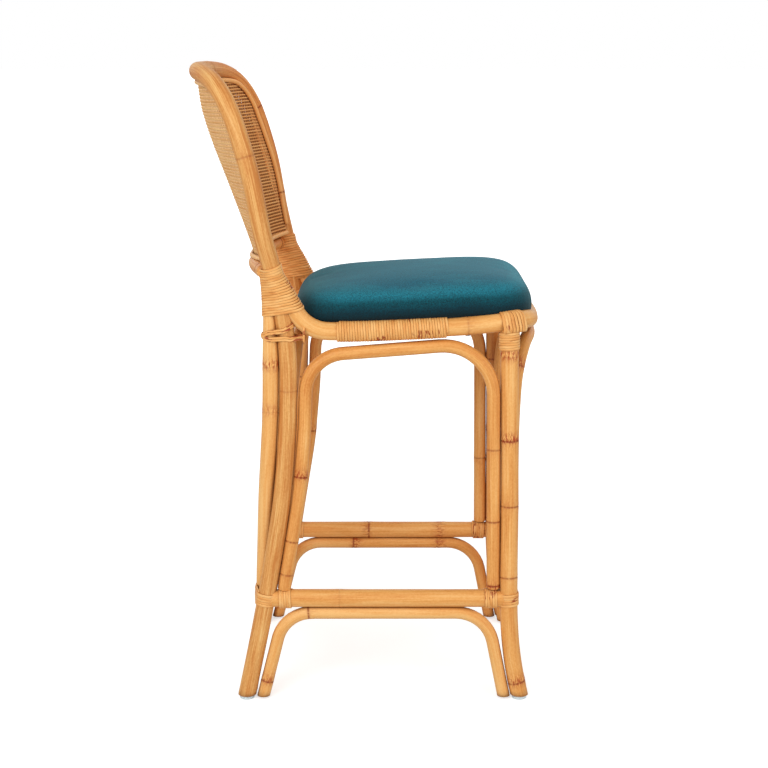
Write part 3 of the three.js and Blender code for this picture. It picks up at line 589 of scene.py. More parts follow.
@dataclass
class Winding:
    """A strand of peel wound round a bundle of poles, turn beside turn.

    Attributes:
        axis: the line that it is wound along.
        start: where it starts on that line.
        end: where it ends.
        bundle: the poles inside it.
        normal: the direction from which its angle counts.
        seed: what makes its grain its own.
        sweep: the part of each turn that shows, as start and end in degrees, or None for whole turns.
        clearance: the room between the strand and the poles.
        fill: the share of the pitch that the strand fills.
        per_turn: places in each turn.
        last_turn: how much of a turn follows the last whole one.
        end_allowance: how far past its end a pole still counts.
        near: how far off its points still count.
    """

    axis: Line
    start: float
    end: float
    bundle: Sequence[Pole]
    normal: Array
    seed: int
    sweep: tuple[float, float] | None = None
    clearance: float = 0.25
    fill: float = 0.97
    per_turn: int = 30
    last_turn: float = 0.35
    end_allowance: float = 14.0
    near: float = 75

    def _circles(self, origin: Array, tangent: Array) -> list[tuple[Array, float]]:
        """Finds where the poles pass a plane. A slanting pole counts as two circles, a little apart.

        Args:
            origin: a point of the plane.
            tangent: the plane's normal.

        Returns:
            Each circle's centre in space and its radius.
        """
        found = []
        for pole in self.bundle:
            gaps = pole.line.points - origin
            near = np.linalg.norm(gaps, axis=1) < self.near
            height = gaps @ tangent
            places = np.nonzero(near[1:] & near[:-1] & (np.sign(height[1:]) != np.sign(height[:-1])))[0]
            if len(places):
                i = int(places[np.argmin(np.linalg.norm(gaps[places], axis=1))])
                share = height[i] / (height[i] - height[i + 1])
                run = float(lerp(pole.line.runs[i], pole.line.runs[i + 1], share))
            else:
                i = 0 if abs(height[0]) < abs(height[-1]) else len(height) - 1
                if abs(height[i]) > self.end_allowance or not near[i]:
                    continue
                run = float(pole.line.runs[i])
            centre, slant, radius = pole.line.at(run), pole.line.tangent(run), float(pole.radius_at(run))
            along = float(slant @ tangent)
            stretch = min(radius * (1 / max(abs(along), 0.6) - 1), radius * 0.5)
            lean = slant - tangent * along
            lean = unit(lean) if np.linalg.norm(lean) > 1e-6 else lean
            found += [(centre - lean * stretch, radius), (centre + lean * stretch, radius)]
        return found

    def surface(self, runs: Array, angles: Array) -> tuple[Array, Array, Array]:
        """Places points on the bundle.

        Args:
            runs: the distance along the axis of each point.
            angles: its angle round the axis.

        Returns:
            The points, their outward directions and the axis's direction at each.
        """
        tangents = self.axis.tangent(runs)
        normals = unit(self.normal - tangents * (tangents @ self.normal)[:, None])
        binormals = np.cross(tangents, normals)
        outward = normals * np.cos(angles)[:, None] + binormals * np.sin(angles)[:, None]
        origins = self.axis.at(runs)
        points = np.empty_like(origins)
        for i, (origin, tangent, out) in enumerate(zip(origins, tangents, outward)):
            circles = self._circles(origin, tangent)
            centre, radius = max(circles, key=lambda circle: float((circle[0] - origin) @ out) + circle[1])
            centre = centre - tangent * ((centre - origin) @ tangent)
            points[i] = centre + out * (radius + self.clearance)
        return points, outward, tangents

    def form(self) -> Form:
        """Builds the winding's mesh.

        Returns:
            One strand, or one for each turn where only a part of it shows.
        """
        low, high = min(self.start, self.end), max(self.start, self.end)
        turns = max(1, round((high - low) / STRAND_WIDTH))
        pitch = (high - low) / turns
        if self.sweep is None:
            whole = turns - 1 + self.last_turn
            share = np.arange(int(whole * self.per_turn) + 1) / self.per_turn
            runs = low + pitch / 2 + share * pitch * (turns - 1) / whole
            surface = self.surface(np.clip(runs, low, high), share * 2 * math.pi)
            return ribbon(*surface, pitch * self.fill, self.seed)
        angles = np.linspace(*np.radians(self.sweep), self.per_turn)
        strands = []
        for turn in range(turns):
            surface = self.surface(np.full(len(angles), low + (turn + 0.5) * pitch), angles)
            strands.append(ribbon(*surface, pitch * self.fill, self.seed * 31 + turn, tucked=3))
        return Form.joined(strands)


# ---------------------------------------- shader sheets


class Wire:
    """A shader value that Python's operators turn into Math nodes."""

    def __init__(self, sheet: ShaderSheet, socket: bpy.types.NodeSocket | None) -> None:
        """Wraps a node's output."""
        self.sheet, self.socket = sheet, socket

    def _math(self, operation: str, *values: Wire | float) -> Wire:
        """Adds a Math node for an operation on values."""
        return self.sheet.node("ShaderNodeMath", {"operation": operation}, dict(enumerate(values)))

    def __add__(self, other: Wire | float) -> Wire:
        """Adds a value."""
        return self._math("ADD", self, other)

    __radd__ = __add__

    def __sub__(self, other: Wire | float) -> Wire:
        """Takes a value away."""
        return self._math("SUBTRACT", self, other)

    def __rsub__(self, other: Wire | float) -> Wire:
        """Takes this value away from another."""
        return self._math("SUBTRACT", other, self)

    def __mul__(self, other: Wire | float) -> Wire:
        """Multiplies by a value."""
        return self._math("MULTIPLY", self, other)

    __rmul__ = __mul__

    def __pow__(self, other: Wire | float) -> Wire:
        """Raises to a power."""
        return self._math("POWER", self, other)

    def maximum(self, other: Wire | float) -> Wire:
        """Takes the larger of two values."""
        return self._math("MAXIMUM", self, other)

    def between(self, low: float, high: float) -> Wire:
        """Maps low to 0 and high to 1, smoothly and clamped."""
        settings = {"interpolation_type": "SMOOTHSTEP"}
        return self.sheet.node("ShaderNodeMapRange", settings, {0: self, 1: low, 2: high, 3: 0.0, 4: 1.0})


def paint(red: int, green: int, blue: int) -> Rgba:
    """Turns a colour as it is seen on a screen into a shader's colour.

    Args:
        red: from 0 to 255.
        green: from 0 to 255.
        blue: from 0 to 255.

    Returns:
        The linear colour with an alpha of 1.
    """
    shares = [c / 255 for c in (red, green, blue)]
    linear = [s / 12.92 if s <= 0.04045 else ((s + 0.055) / 1.055) ** 2.4 for s in shares]
    return (*linear, 1.0)


WHITE: Rgba = (1.0, 1.0, 1.0, 1.0)
# What the far, right side's colours are multiplied by: a painted warm tint for light bounced into their shade.
WARM_SHADE_TINT: Rgba = (1.14, 0.94, 0.8, 1.0)
LACQUER = {"IOR": 1.48, "Specular IOR Level": 0.26}


class ShaderSheet:
    """The node tree of a material or a world, and the one way in which nodes get onto it."""

    def __init__(self, name: str, shelf: bpy.types.bpy_prop_collection | None = None) -> None:
        """Starts an empty sheet.

        Args:
            name: the name of the material or world.
            shelf: where it is kept, or None for the materials.
        """
        self.owner = (bpy.data.materials if shelf is None else shelf).new(name)
        self.owner.use_nodes = True
        self.tree = self.owner.node_tree
        self.tree.nodes.clear()

    def node(
        self,
        kind: str,
        settings: dict[str, object] | None = None,
        values: dict[str | int, Wire | float | Sequence[float]] | None = None,
        output: str | int = 0,
    ) -> Wire:
        """Adds a node.

        Args:
            kind: the node's type.
            settings: its settings, with a ramp's stops as stops.
            values: the value or link of each input socket, by name or index.
            output: which output is returned.

        Returns:
            The node's output.
        """
        made = self.tree.nodes.new(kind)
        for key, value in (settings or {}).items():
            if key == "stops":
                ramp = made.color_ramp
                while len(ramp.elements) < len(value):
                    ramp.elements.new(1.0)
                for element, (place, color) in zip(ramp.elements, value):
                    element.position, element.color = place, color
            else:
                setattr(made, key, value)
        for key, value in (values or {}).items():
            if isinstance(value, Wire):
                self.tree.links.new(value.socket, made.inputs[key])
            else:
                made.inputs[key].default_value = value
        return Wire(self, made.outputs[output] if made.outputs else None)

    def place(self) -> Wire:
        """Reads where a point lies on its object, in metres."""
        return self.node("ShaderNodeTexCoord", output="Object")

    def layer(self, name: str) -> Wire:
        """Reads a layer of the mesh, its grain or its marks."""
        return self.node("ShaderNodeAttribute", {"attribute_name": name}, output="Vector")

    def part(self, vector: Wire, axis: int) -> Wire:
        """Reads one part of a vector."""
        return self.node("ShaderNodeSeparateXYZ", None, {0: vector}, axis)

    def ramp(self, share: Wire, *stops: tuple[float, Rgba]) -> Wire:
        """Reads a colour off a ramp."""
        return self.node("ShaderNodeValToRGB", {"stops": stops}, {0: share})

    def mix(self, share: Wire | float, first: Wire | Rgba, second: Wire | Rgba, blend: str = "MIX") -> Wire:
        """Mixes two colours.

        Args:
            share: how much of the second shows.
            first: the first colour.
            second: the second colour.
            blend: the way in which they mix.

        Returns:
            The colour.
        """
        settings = {"data_type": "RGBA", "blend_type": blend, "clamp_factor": True}
        return self.node("ShaderNodeMix", settings, {0: share, 6: first, 7: second}, 2)

    def noise(
        self, place: Wire, scale: float | tuple[float, ...], detail: float = 3.0, roughness: float = 0.55
    ) -> Wire:
        """Reads a noise.

        Args:
            place: where it is read.
            scale: its scale, or one for each axis.
            detail: its octaves.
            roughness: how strong the fine ones are.

        Returns:
            The noise from 0 to 1.
        """
        if isinstance(scale, tuple):
            place = self.node("ShaderNodeVectorMath", {"operation": "MULTIPLY"}, {0: place, 1: scale})
            scale = 1.0
        values = {"Vector": place, "Scale": scale, "Detail": detail, "Roughness": roughness}
        return self.node("ShaderNodeTexNoise", None, values)

    def shade(self, values: dict[str | int, Wire | float | Sequence[float]]) -> bpy.types.Material:
        """Ends the sheet with a Principled shader.

        Args:
            values: the value or link of each of its sockets.

        Returns:
            The material.
        """
        self.node("ShaderNodeOutputMaterial", None, {0: self.node("ShaderNodeBsdfPrincipled", None, values)})
        return self.owner

    def warm_shade_tinted(self, color: Wire) -> Wire:
        """Paints a warm tint of bounced light into the shade of the stool's far, right side, most of all high up.

        Args:
            color: the colour to warm.

        Returns:
            The colour, warmer to the right.
        """
        place = self.place()
        right, high = self.part(place, 0).between(0.0, 0.16), self.part(place, 2).between(0.4, 0.68)
        return self.mix(right * (high * 0.75 + 0.25), color, WARM_SHADE_TINT, "MULTIPLY")

    def crease_shade(self, reach: float) -> Wire:
        """Reads how deep a place lies between its neighbours, as a share of painted shade.

        Args:
            reach: how far off a neighbour still counts, in metres.

        Returns:
            The depth, from 0 in the open to 1.
        """
        open_share = self.node("ShaderNodeAmbientOcclusion", {"samples": 6}, {"Distance": reach}, "AO")
        return (1 - open_share).between(0.25, 0.85)

    def bump(self, height: Wire, strength: float, depth: float) -> Wire:
        """Turns a height into a normal.

        Args:
            height: the height.
            strength: how much of it shows.
            depth: its depth in metres.

        Returns:
            The normal.
        """
        return self.node("ShaderNodeBump", None, {"Height": height, "Strength": strength, "Distance": depth})


class Skin(Enum):
    """How a rattan pole's surface was left."""

    NATURAL = "natural"
    PEELED = "peeled"


@dataclass(frozen=True)
class RattanFinish:
    """Lacquered rattan: long pale fibres, stained nodes and a satin skin, with painted shade deep between poles.

    Attributes:
        skin: whether the glossy skin is still on.
        light: the palest fibre.
        middle: the usual colour.
        dark: the darkest fibre.
        ring: the colour of a node's ring.
        stain: the colour of the stain round it.
        crease_shade: the painted shade deep between two poles.
    """

    skin: Skin = Skin.NATURAL
    light: Rgba = paint(241, 189, 120)
    middle: Rgba = paint(231, 167, 93)
    dark: Rgba = paint(206, 128, 57)
    ring: Rgba = paint(134, 44, 18)
    stain: Rgba = paint(168, 62, 24)
    crease_shade: Rgba = paint(120, 52, 18)

    def material(self) -> bpy.types.Material:
        """Builds the material.

        Returns:
            The material, which reads a pole's grain and marks.
        """
        sheet = ShaderSheet(f"rattan_{self.skin.value}")
        peeled = self.skin is Skin.PEELED
        grain, marks = sheet.layer("grain"), sheet.layer("marks")
        ring, near, tone_and_shade = (sheet.part(marks, axis) for axis in range(3))
        broad = sheet.noise(grain, (7, 70, 70), 2.0)
        fibre = sheet.noise(grain, (16 if peeled else 9, 900, 900), 3.0, 0.6)
        pores = sheet.noise(grain, (170, 2200, 2200), 1.0)
        mottle = sheet.noise(grain, (260, 420, 420), 2.0)
        band = sheet.noise(grain, (8, 260, 260), 2.0, 0.6)
        blotch = sheet.noise(grain, (110, 520, 520), 3.0, 0.7).between(0.47, 0.53)
        ragged = sheet.noise(grain, (60, 330, 330), 2.0).between(0.3, 0.5)
        streak = (1.15 if peeled else 0.6) * (fibre - 0.5) + (0.95 if peeled else 0.55) * (band - 0.5)
        # The third mark darkens the whole pole: partly its own colour, partly painted shade.
        shade = (broad - 0.5) * 0.8 + streak + (mottle - 0.5) * 0.35 + tone_and_shade * 0.8 + 0.25
        pore = pores.between(0.62, 0.72) * (0.7 if peeled else 0.35)
        base = sheet.ramp(shade, (0.28, self.light), (0.52, self.middle), (0.86, self.dark))
        base = sheet.mix(pore, base, self.dark)
        base = sheet.mix(near * blotch, base, self.stain)
        base = sheet.mix(ring * (0.35 + 0.65 * ragged), base, self.ring)
        # Painted shade deep between poles, where ambient occlusion finds them close.
        base = sheet.mix(sheet.crease_shade(0.014) * 0.65, base, self.crease_shade)
        height = fibre * (1.0 if peeled else 0.45) - pore * 0.5 + mottle * 0.2
        return sheet.shade(
            {
                "Base Color": sheet.warm_shade_tinted(base),
                "Roughness": (0.5 if peeled else 0.4) + (mottle - 0.5) * 0.2 + ring * 0.15,
                "Normal": sheet.bump(height, 0.5 if peeled else 0.3, 0.00025),
                **LACQUER,
            }
        )


@dataclass(frozen=True)
class PeelFinish:
    """Rattan peel wound round the joints: a pale glossy outside with fine lines along each strand, and painted shade
    deep between turns.

    Attributes:
        light: the palest peel.
        middle: the usual colour.
        dark: the darkest.
        mark: the colour of the red-brown marks where nodes were.
        crease_shade: the painted shade deep between two turns.
    """

    light: Rgba = paint(242, 190, 122)
    middle: Rgba = paint(232, 168, 96)
    dark: Rgba = paint(204, 126, 60)
    mark: Rgba = paint(150, 50, 18)
    crease_shade: Rgba = paint(124, 58, 20)

    def material(self) -> bpy.types.Material:
        """Builds the material.

        Returns:
            The material, which reads a strand's grain and marks.
        """
        sheet = ShaderSheet("rattan_peel")
        grain, edge = sheet.layer("grain"), sheet.part(sheet.layer("marks"), 2)
        broad = sheet.noise(grain, (16, 60, 60), 2.0)
        lines = sheet.noise(grain, (30, 2600, 2600), 2.0)
        patch = sheet.noise(grain, (45, 240, 240), 2.0)
        cluster = sheet.noise(sheet.place(), 26.0, 1.0).between(0.58, 0.63)
        knot = sheet.noise(grain, (75, 380, 380), 1.0).between(0.54, 0.6)
        shade = broad * 0.75 + (lines - 0.5) * 0.5 + (patch - 0.5) * 0.8 + (edge**8) * 0.2 + 0.1
        base = sheet.ramp(shade, (0.3, self.light), (0.52, self.middle), (0.85, self.dark))
        base = sheet.mix(knot * cluster * 0.9, base, self.mark)
        # Painted shade deep between two turns, where ambient occlusion finds them close.
        base = sheet.mix(sheet.crease_shade(0.005) * 0.55, base, self.crease_shade)
        return sheet.shade(
            {
                "Base Color": sheet.warm_shade_tinted(base),
                "Roughness": 0.44 + (lines - 0.5) * 0.2,
                "Normal": sheet.bump(lines, 0.35, 0.0002),
                **LACQUER,
            }
        )


@dataclass(frozen=True)
class CaneFinish:
    """The cane of the woven back: thin pale strands, with painted shade in the hollows of the weave and on the
    uprights' front faces, and painted light on their rear faces.

    Attributes:
        light: the palest strand.
        dark: the darkest strand.
        shaded: the painted shade of the hollows and of an upright's front face.
        pale: the painted light on an upright's rear face.
    """

    light: Rgba = paint(255, 212, 150)
    dark: Rgba = paint(228, 162, 98)
    shaded: Rgba = paint(98, 42, 14)
    pale: Rgba = paint(244, 216, 184)

    def material(self) -> bpy.types.Material:
        """Builds the material.

        Returns:
            The material, which reads a strand's grain and marks.
        """
        sheet = ShaderSheet("woven_cane")
        grain, marks = sheet.layer("grain"), sheet.layer("marks")
        broad = sheet.noise(grain, (9, 60, 60), 2.0)
        lines = sheet.noise(grain, (60, 3000, 3000), 1.0)
        shade = (broad * 0.9 + (lines - 0.5) * 0.5).between(0.2, 0.8)
        # Painted shade on the hollows and on the uprights' front faces.
        base = sheet.mix(sheet.part(marks, 0) * 0.85, sheet.mix(shade, self.light, self.dark), self.shaded)
        # Painted shade deep in the weave, where ambient occlusion finds it close.
        base = sheet.mix(sheet.crease_shade(0.004) * 0.6, base, self.shaded)
        # The painted light on the uprights' rear faces goes into the base colour below.
        return sheet.shade(
            {
                "Base Color": sheet.warm_shade_tinted(sheet.mix(sheet.part(marks, 1) * 0.3, base, self.pale)),
                "Roughness": 0.5 + (lines - 0.5) * 0.2,
                "Normal": sheet.bump(lines, 0.25, 0.00015),
                "Specular IOR Level": 0.0,
            }
        )


@dataclass(frozen=True)
class VelvetFinish:
    """Teal velvet with painted shade where it turns under or away and painted light on its shoulder, with a speckled
    pile.

    Attributes:
        under: the painted shade where it faces down.
        deep: the painted shade just under a side's middle, and on the rear side.
        side: the upper half of a side, a step between the painted shade and light.
        shoulder: the painted light where it turns from the side to the top.
        crown: the top, painted a little darker than the shoulder.
        pile: the sheen of the pile.
    """

    under: Rgba = paint(0, 28, 36)
    deep: Rgba = paint(0, 42, 53)
    side: Rgba = paint(2, 68, 80)
    shoulder: Rgba = paint(26, 112, 131)
    crown: Rgba = paint(16, 90, 112)
    pile: Rgba = paint(150, 205, 218)

    def material(self) -> bpy.types.Material:
        """Builds the material.

        Returns:
            The material, which reads which way the pad faces.
        """
        sheet = ShaderSheet("teal_velvet")
        place = sheet.place()
        drift = sheet.noise(place, 9.0, 3.0)
        pile = sheet.noise(place, 560.0, 1.0)
        brushed = sheet.noise(place, (40, 14, 60), 3.0)
        # Painted shade and light by which way the pad faces: darkest facing down, lightest on the shoulder.
        facing = sheet.node("ShaderNodeNewGeometry", output="Normal")
        shade = sheet.part(facing, 2) * 0.5 + 0.5 + (drift - 0.5) * 0.07 + (brushed - 0.5) * 0.06
        stops = ((0.2, self.under), (0.53, self.deep), (0.75, self.side), (0.92, self.shoulder),
                 (0.97, self.shoulder), (1.0, self.crown))
        base = sheet.ramp(shade, *stops)
        # Painted shade on the faces turned to the rear.
        base = sheet.mix(sheet.part(facing, 1).between(0.1, 0.8) * 0.85, base, self.deep)
        base = sheet.mix(1.0, base, (pile - 0.5) * 2.2 + 1.0, "MULTIPLY")
        return sheet.shade(
            {
                "Base Color": base,
                "Roughness": 0.82 + pile * 0.15,
                "Normal": sheet.bump(pile * 0.6 + brushed * 0.4, 0.35, 0.0006),
                "Sheen Weight": 0.32,
                "Sheen Roughness": 0.4,
                "Sheen Tint": self.pile,
                "Specular IOR Level": 0.25,
            }
        )


@dataclass(frozen=True)
class PlywoodFinish:
    """Raw plywood for the seat's board, in its pale wood and darker figure."""

    light: Rgba = paint(214, 184, 140)
    dark: Rgba = paint(184, 148, 102)

    def material(self) -> bpy.types.Material:
        """Builds the material.

        Returns:
            The material.
        """
        sheet = ShaderSheet("plywood")
        figure = sheet.noise(sheet.place(), (60, 5, 60), 4.0)
        color = sheet.mix(figure.between(0.3, 0.7), self.light, self.dark)
        normal = sheet.bump(figure, 0.2, 0.0004)
        return sheet.shade({"Base Color": color, "Roughness": 0.62 + figure * 0.2, "Normal": normal})


@dataclass(frozen=True)
class GlideFinish:
    """Clear moulded plastic under the legs, slightly tinted."""

    tint: Rgba = paint(232, 248, 255)

    def material(self) -> bpy.types.Material:
        """Builds the material.

        Returns:
            The material.
        """
        sheet = ShaderSheet("clear_plastic")
        haze = sheet.noise(sheet.place(), 260.0, 2.0)
        clear = {"Transmission Weight": 0.18, "IOR": 1.46}
        return sheet.shade({"Base Color": self.tint, "Roughness": 0.2 + haze * 0.14, **clear})


@dataclass(frozen=True)
class SteelFinish:
    """Zinc-plated steel for the screws."""

    color: Rgba = paint(186, 190, 194)

    def material(self) -> bpy.types.Material:
        """Builds the material.

        Returns:
            The material.
        """
        sheet = ShaderSheet("zinc_steel")
        brush = sheet.noise(sheet.place(), 700.0, 2.0)
        return sheet.shade({"Base Color": self.color, "Metallic": 1.0, "Roughness": 0.28 + brush * 0.2})


# ---------------------------------------- workshop


@dataclass
class Workshop:
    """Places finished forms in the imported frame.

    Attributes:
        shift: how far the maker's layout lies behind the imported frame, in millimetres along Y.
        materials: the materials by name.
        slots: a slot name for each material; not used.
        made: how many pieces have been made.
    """

    shift: float
    materials: dict[str, bpy.types.Material]
    slots: dict[str, str]
    made: int = 0

    def place(self, name: str, form: Form, material: str, node: str) -> bpy.types.Object:
        """Makes an object of a form, ties it to the frame and reports it.

        Args:
            name: the piece's name.
            form: its mesh.
            material: the name of its material.
            node: the frame's node that it stands for.

        Returns:
            The object.
        """
        mesh = bpy.data.meshes.new(name)
        points = (form.points - vec(0, self.shift, 0)) * MM
        mesh.from_pydata(points.tolist(), [], form.faces)
        for key, values in (("grain", form.grain), ("marks", form.marks)):
            layer = mesh.attributes.new(key, "FLOAT_VECTOR", "POINT")
            layer.data.foreach_set("vector", values.astype(np.float32).ravel())
        mesh.validate()
        mesh.shade_smooth()
        mesh.materials.append(self.materials[material])
        piece = bpy.data.objects.new(name, mesh)
        bpy.context.scene.collection.objects.link(piece)
        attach(piece, "root")
        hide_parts(node)
        self.made += 1
        LOG.info("piece %d: %s, %d faces", self.made, name, len(mesh.polygons))
        return piece


# ---------------------------------------- frame of poles


@dataclass
class Layout:
    """The stool's driving sizes and the lines that follow from them, drawn for the side at -X.

    Attributes:
        total_height, leg_plane: the height over all, and how far the legs stand from the plane of symmetry.
        gap, wrap_gap: the clearance between poles that touch, and between a binding and an arch on it.
        pole: the radius of the hoop, the legs, the seat ring and the stretchers.
        support, rear_rail, bottom_rail, upper_arch, lower_arch: the radius of each of these.
        glide_height, glide_radius: a glide's size.
        arch_foot_lift: how far a lower arch's feet stay off the floor.
        front_foot_y, front_knee_y, front_top_y: how far back a front leg stands, at three heights.
        rear_foot_y, front_rail_y, rear_stretcher_y, rear_rail_y: how far back each of these lies.
        arch_spring: the height at which the hoop starts to close.
        upright_low, upright_high: the height and depth between which the uprights lean back.
        bow_heights: between which heights the back's bow grows, from back_bow_bottom to back_bow.
        squareness: how square the hoop's top is.
        foot_extra: how far a leg's line runs on past its glide, to be cut level.
        floor_end: the height at which an arch's line ends, to be cut level.
        cope: how far a stretcher reaches into a leg.
        rear_stretcher_reach: how far out the rear stretcher would reach uncoped.
    """

    total_height: float = 992
    leg_plane: float = 186
    gap: float = 0.3
    pole: float = 14
    support: float = 12.5
    rear_rail: float = 11
    bottom_rail: float = 11
    upper_arch: float = 10.5
    lower_arch: float = 10
    stretcher_height: float = 166
    glide_height: float = 6
    glide_radius: float = 11.5
    arch_foot_lift: float = 4
    front_foot_y: float = -216
    front_knee_y: float = -197
    front_top_y: float = -191
    rear_foot_y: float = 217
    side_rail_height: float = 596
    front_rail_y: float = -234
    hoop_half_width: float = 214.5
    arch_spring: float = 760
    upright_low: tuple[float, float] = (698, 165)
    upright_high: tuple[float, float] = (976, 234)
    bow_heights: tuple[float, float] = (660, 900)
    back_bow_bottom: float = 38
    back_bow: float = 58
    squareness: float = 4.9
    wrap_gap: float = 0.4
    foot_extra: float = 16
    cope: float = 8
    rear_stretcher_y: float = 190
    rear_stretcher_reach: float = 161
    rear_rail_y: float = 126
    floor_end: float = -10

    @property
    def foot_end(self) -> float:
        """The height at which a leg's line ends."""
        return self.glide_height - self.foot_extra

    @property
    def arch_foot(self) -> float:
        """The height at which an upper arch stands on its stretcher."""
        return self.stretcher_height + self.pole + STRAND_THICKNESS + self.wrap_gap

    @property
    def under_stretcher(self) -> float:
        """The height of a lower arch's axis under its stretcher."""
        return self.stretcher_height - self.pole - self.lower_arch + 0.1

    def upright_y(self, z: Array | float) -> Array | float:
        """Returns how far back the uprights stand at a height."""
        (low, low_y), (high, high_y) = self.upright_low, self.upright_high
        return lerp(low_y, high_y, (z - low) / (high - low))

    def backsurface(self, x: Array, z: Array) -> Array:
        """Returns points of the bowed surface that the hoop, the cane and the bottom rail share."""
        bow = lerp(self.back_bow_bottom, self.back_bow, smoothstep(z, *self.bow_heights))
        return np.stack([x, self.upright_y(z) + bow * (1 - (x / self.hoop_half_width) ** 2), z], axis=-1)

    def hoop_arch(self, t: Array) -> Array:
        """Places points on the hoop's closing part.

        Args:
            t: where they lie, from -1 at the left spring to 1 at the right.

        Returns:
            The points.
        """
        x = self.hoop_half_width * squared(np.sin(t * math.pi / 2), self.squareness)
        rise = (self.total_height - self.pole - self.arch_spring) * squared(np.cos(t * math.pi / 2), self.squareness)
        return self.backsurface(x, self.arch_spring + rise)

    def inside_hoop(self, t: Array, inset: float, step: float = 0.004) -> Array:
        """Places points inside the hoop's closing part.

        Args:
            t: where they lie, from -1 at the left spring to 1 at the right.
            inset: how far in from its axis they lie.
            step: the step over which the axis's direction is read.

        Returns:
            The points.
        """
        run = self.hoop_arch(t + step) - self.hoop_arch(t - step)
        inward = unit(np.stack([run[..., 2], np.zeros_like(t), -run[..., 0]], axis=-1))
        return self.hoop_arch(t) + inward * inset

    def lines(self) -> dict[str, Line]:
        """Draws the centre line of every kind of pole, from a foot, the front or the left.

        Returns:
            The lines by the pole's name.
        """
        leg, knee, rail, front = -self.leg_plane, self.front_knee_y, self.side_rail_height, self.front_rail_y
        foot, under, end = self.arch_foot, self.under_stretcher, self.floor_end

        hoop = beside(
            leg, (0, self.rear_foot_y + 4, self.foot_end), (0, 188, 151), (0, 158.5, 326), (0, 147.5, 470),
            (-1, 147.5, 560), (-4, 156, 630), (-11, 171, 698), (-21, 181.5, 742),
        )
        *arch, top = self.hoop_arch(np.array([-0.97, -0.86, -0.74, -0.62, -0.5, -0.36, -0.2, -0.08, 0.0]))
        support = [
            (-160.5, 191, self.stretcher_height - self.pole), (-162, 188, 228), (-173, 183.5, 326), (-184, 178, 406),
            (-186, 174.5, 470), (-188, 173, 570), (-189, 175, 640), (-191, 180, 688),
        ]
        front_leg = beside(
            leg, (0, self.front_foot_y - 2.5, self.foot_end), (0, knee - 7, 62), (0, knee, 135),
            (1, lerp(knee, self.front_top_y, 0.35), 340), (5, self.front_top_y, 601),
        )
        ring = beside(
            leg, (-10, 170, 696), (-5, 151.5, 655), (-2, 138, 627), (-1, 122, 606), (0, 100, 594), (0, 70, rail - 4.5),
            (0, -100, rail + 2), (1, -160, rail + 7), (11, -199, rail + 10.5), (36, -219, rail + 9),
            (106, front + 5, rail),
        )
        rear_rail = beside(
            -(self.leg_plane - self.pole - self.rear_rail - self.gap),
            (0, -108, rail + 2), (0, 40, rail - 4.5), (0, self.rear_rail_y, rail - 4.5),
        )
        rail_end = vec(leg - 8, 180, 684)
        rail_middle = self.backsurface(np.array(0.0), np.array(677.0)) + vec(0, 8, 0)
        rail_side = vec(-110, lerp(rail_end[1], rail_middle[1], 0.66), 682)
        side_arch = beside(
            leg, (0, 157, foot - 2), (0, 131.5, 335), (0, 122, 440), (0, 118, 553), (0, -167.5, 575.5),
            (0, -171.5, foot),
        )
        low_side_arch = beside(leg, (0, 195, end), (0, 157, under), (0, -162, under), (0, -193, end))
        front_arch = beside(
            -(self.leg_plane - self.pole - self.upper_arch - self.gap), (0, knee - 4, foot - 1), (1, knee - 3, 330),
            (3.5, knee - 4, 462), (13, -206, 520), (44, -218, 557),
        )
        front_arch.append(vec(-62, front + 4, 566.5))
        front_top = vec(0, front + 1, rail - 4 - self.pole - self.upper_arch - 0.2)
        rear_top = rail - 4.5 - self.rear_rail - self.upper_arch - self.gap
        rear_foot = vec(-134, self.rear_stretcher_y - 2, foot - 2)
        rear_arch = [rear_foot, vec(-148, 158, 350), vec(-152, self.rear_rail_y + 10, rear_top)]
        low = -(self.leg_plane - self.pole - self.lower_arch - 2 * self.gap)
        low_front, low_rear = (
            both_sides(beside(low, (0, foot_y, end), (0, top_y, under)))
            for foot_y, top_y in ((-215, knee), (216, self.rear_stretcher_y - 2))
        )
        height = self.stretcher_height
        side = beside(leg, (0, knee + self.cope, height), (0, 186 - self.cope, height))
        return {
            "hoop": Line.smooth(both_sides([*hoop, *arch], top)),
            "support": Line.smooth(support),
            "front_leg": Line.smooth(front_leg),
            "ring": Line.smooth(both_sides(ring, vec(0, front, rail - 4))),
            "rear_rail": Line.bent(both_sides(rear_rail), [300, 48, 48, 300]),
            "bottom_rail": Line.smooth(both_sides([rail_end, rail_side], rail_middle)),
            "upper_side": Line.bent(side_arch, [700, 700, 62, 78]),
            "lower_side": Line.bent(low_side_arch, [56, 60]),
            "upper_front": Line.smooth(both_sides(front_arch, front_top)),
            "upper_rear": Line.bent(both_sides(rear_arch), [900, 66, 66, 900]),
            "lower_front": Line.bent(low_front, [56, 56]),
            "lower_rear": Line.bent(low_rear, [56, 56]),
            "side_stretcher": Line.of(side),
            "front_stretcher": Line.of(both_sides([vec(leg + self.cope, knee, height)])),
            "rear_stretcher": Line.of(
                both_sides([vec(self.cope - self.rear_stretcher_reach, self.rear_stretcher_y, height)])
            ),
        }


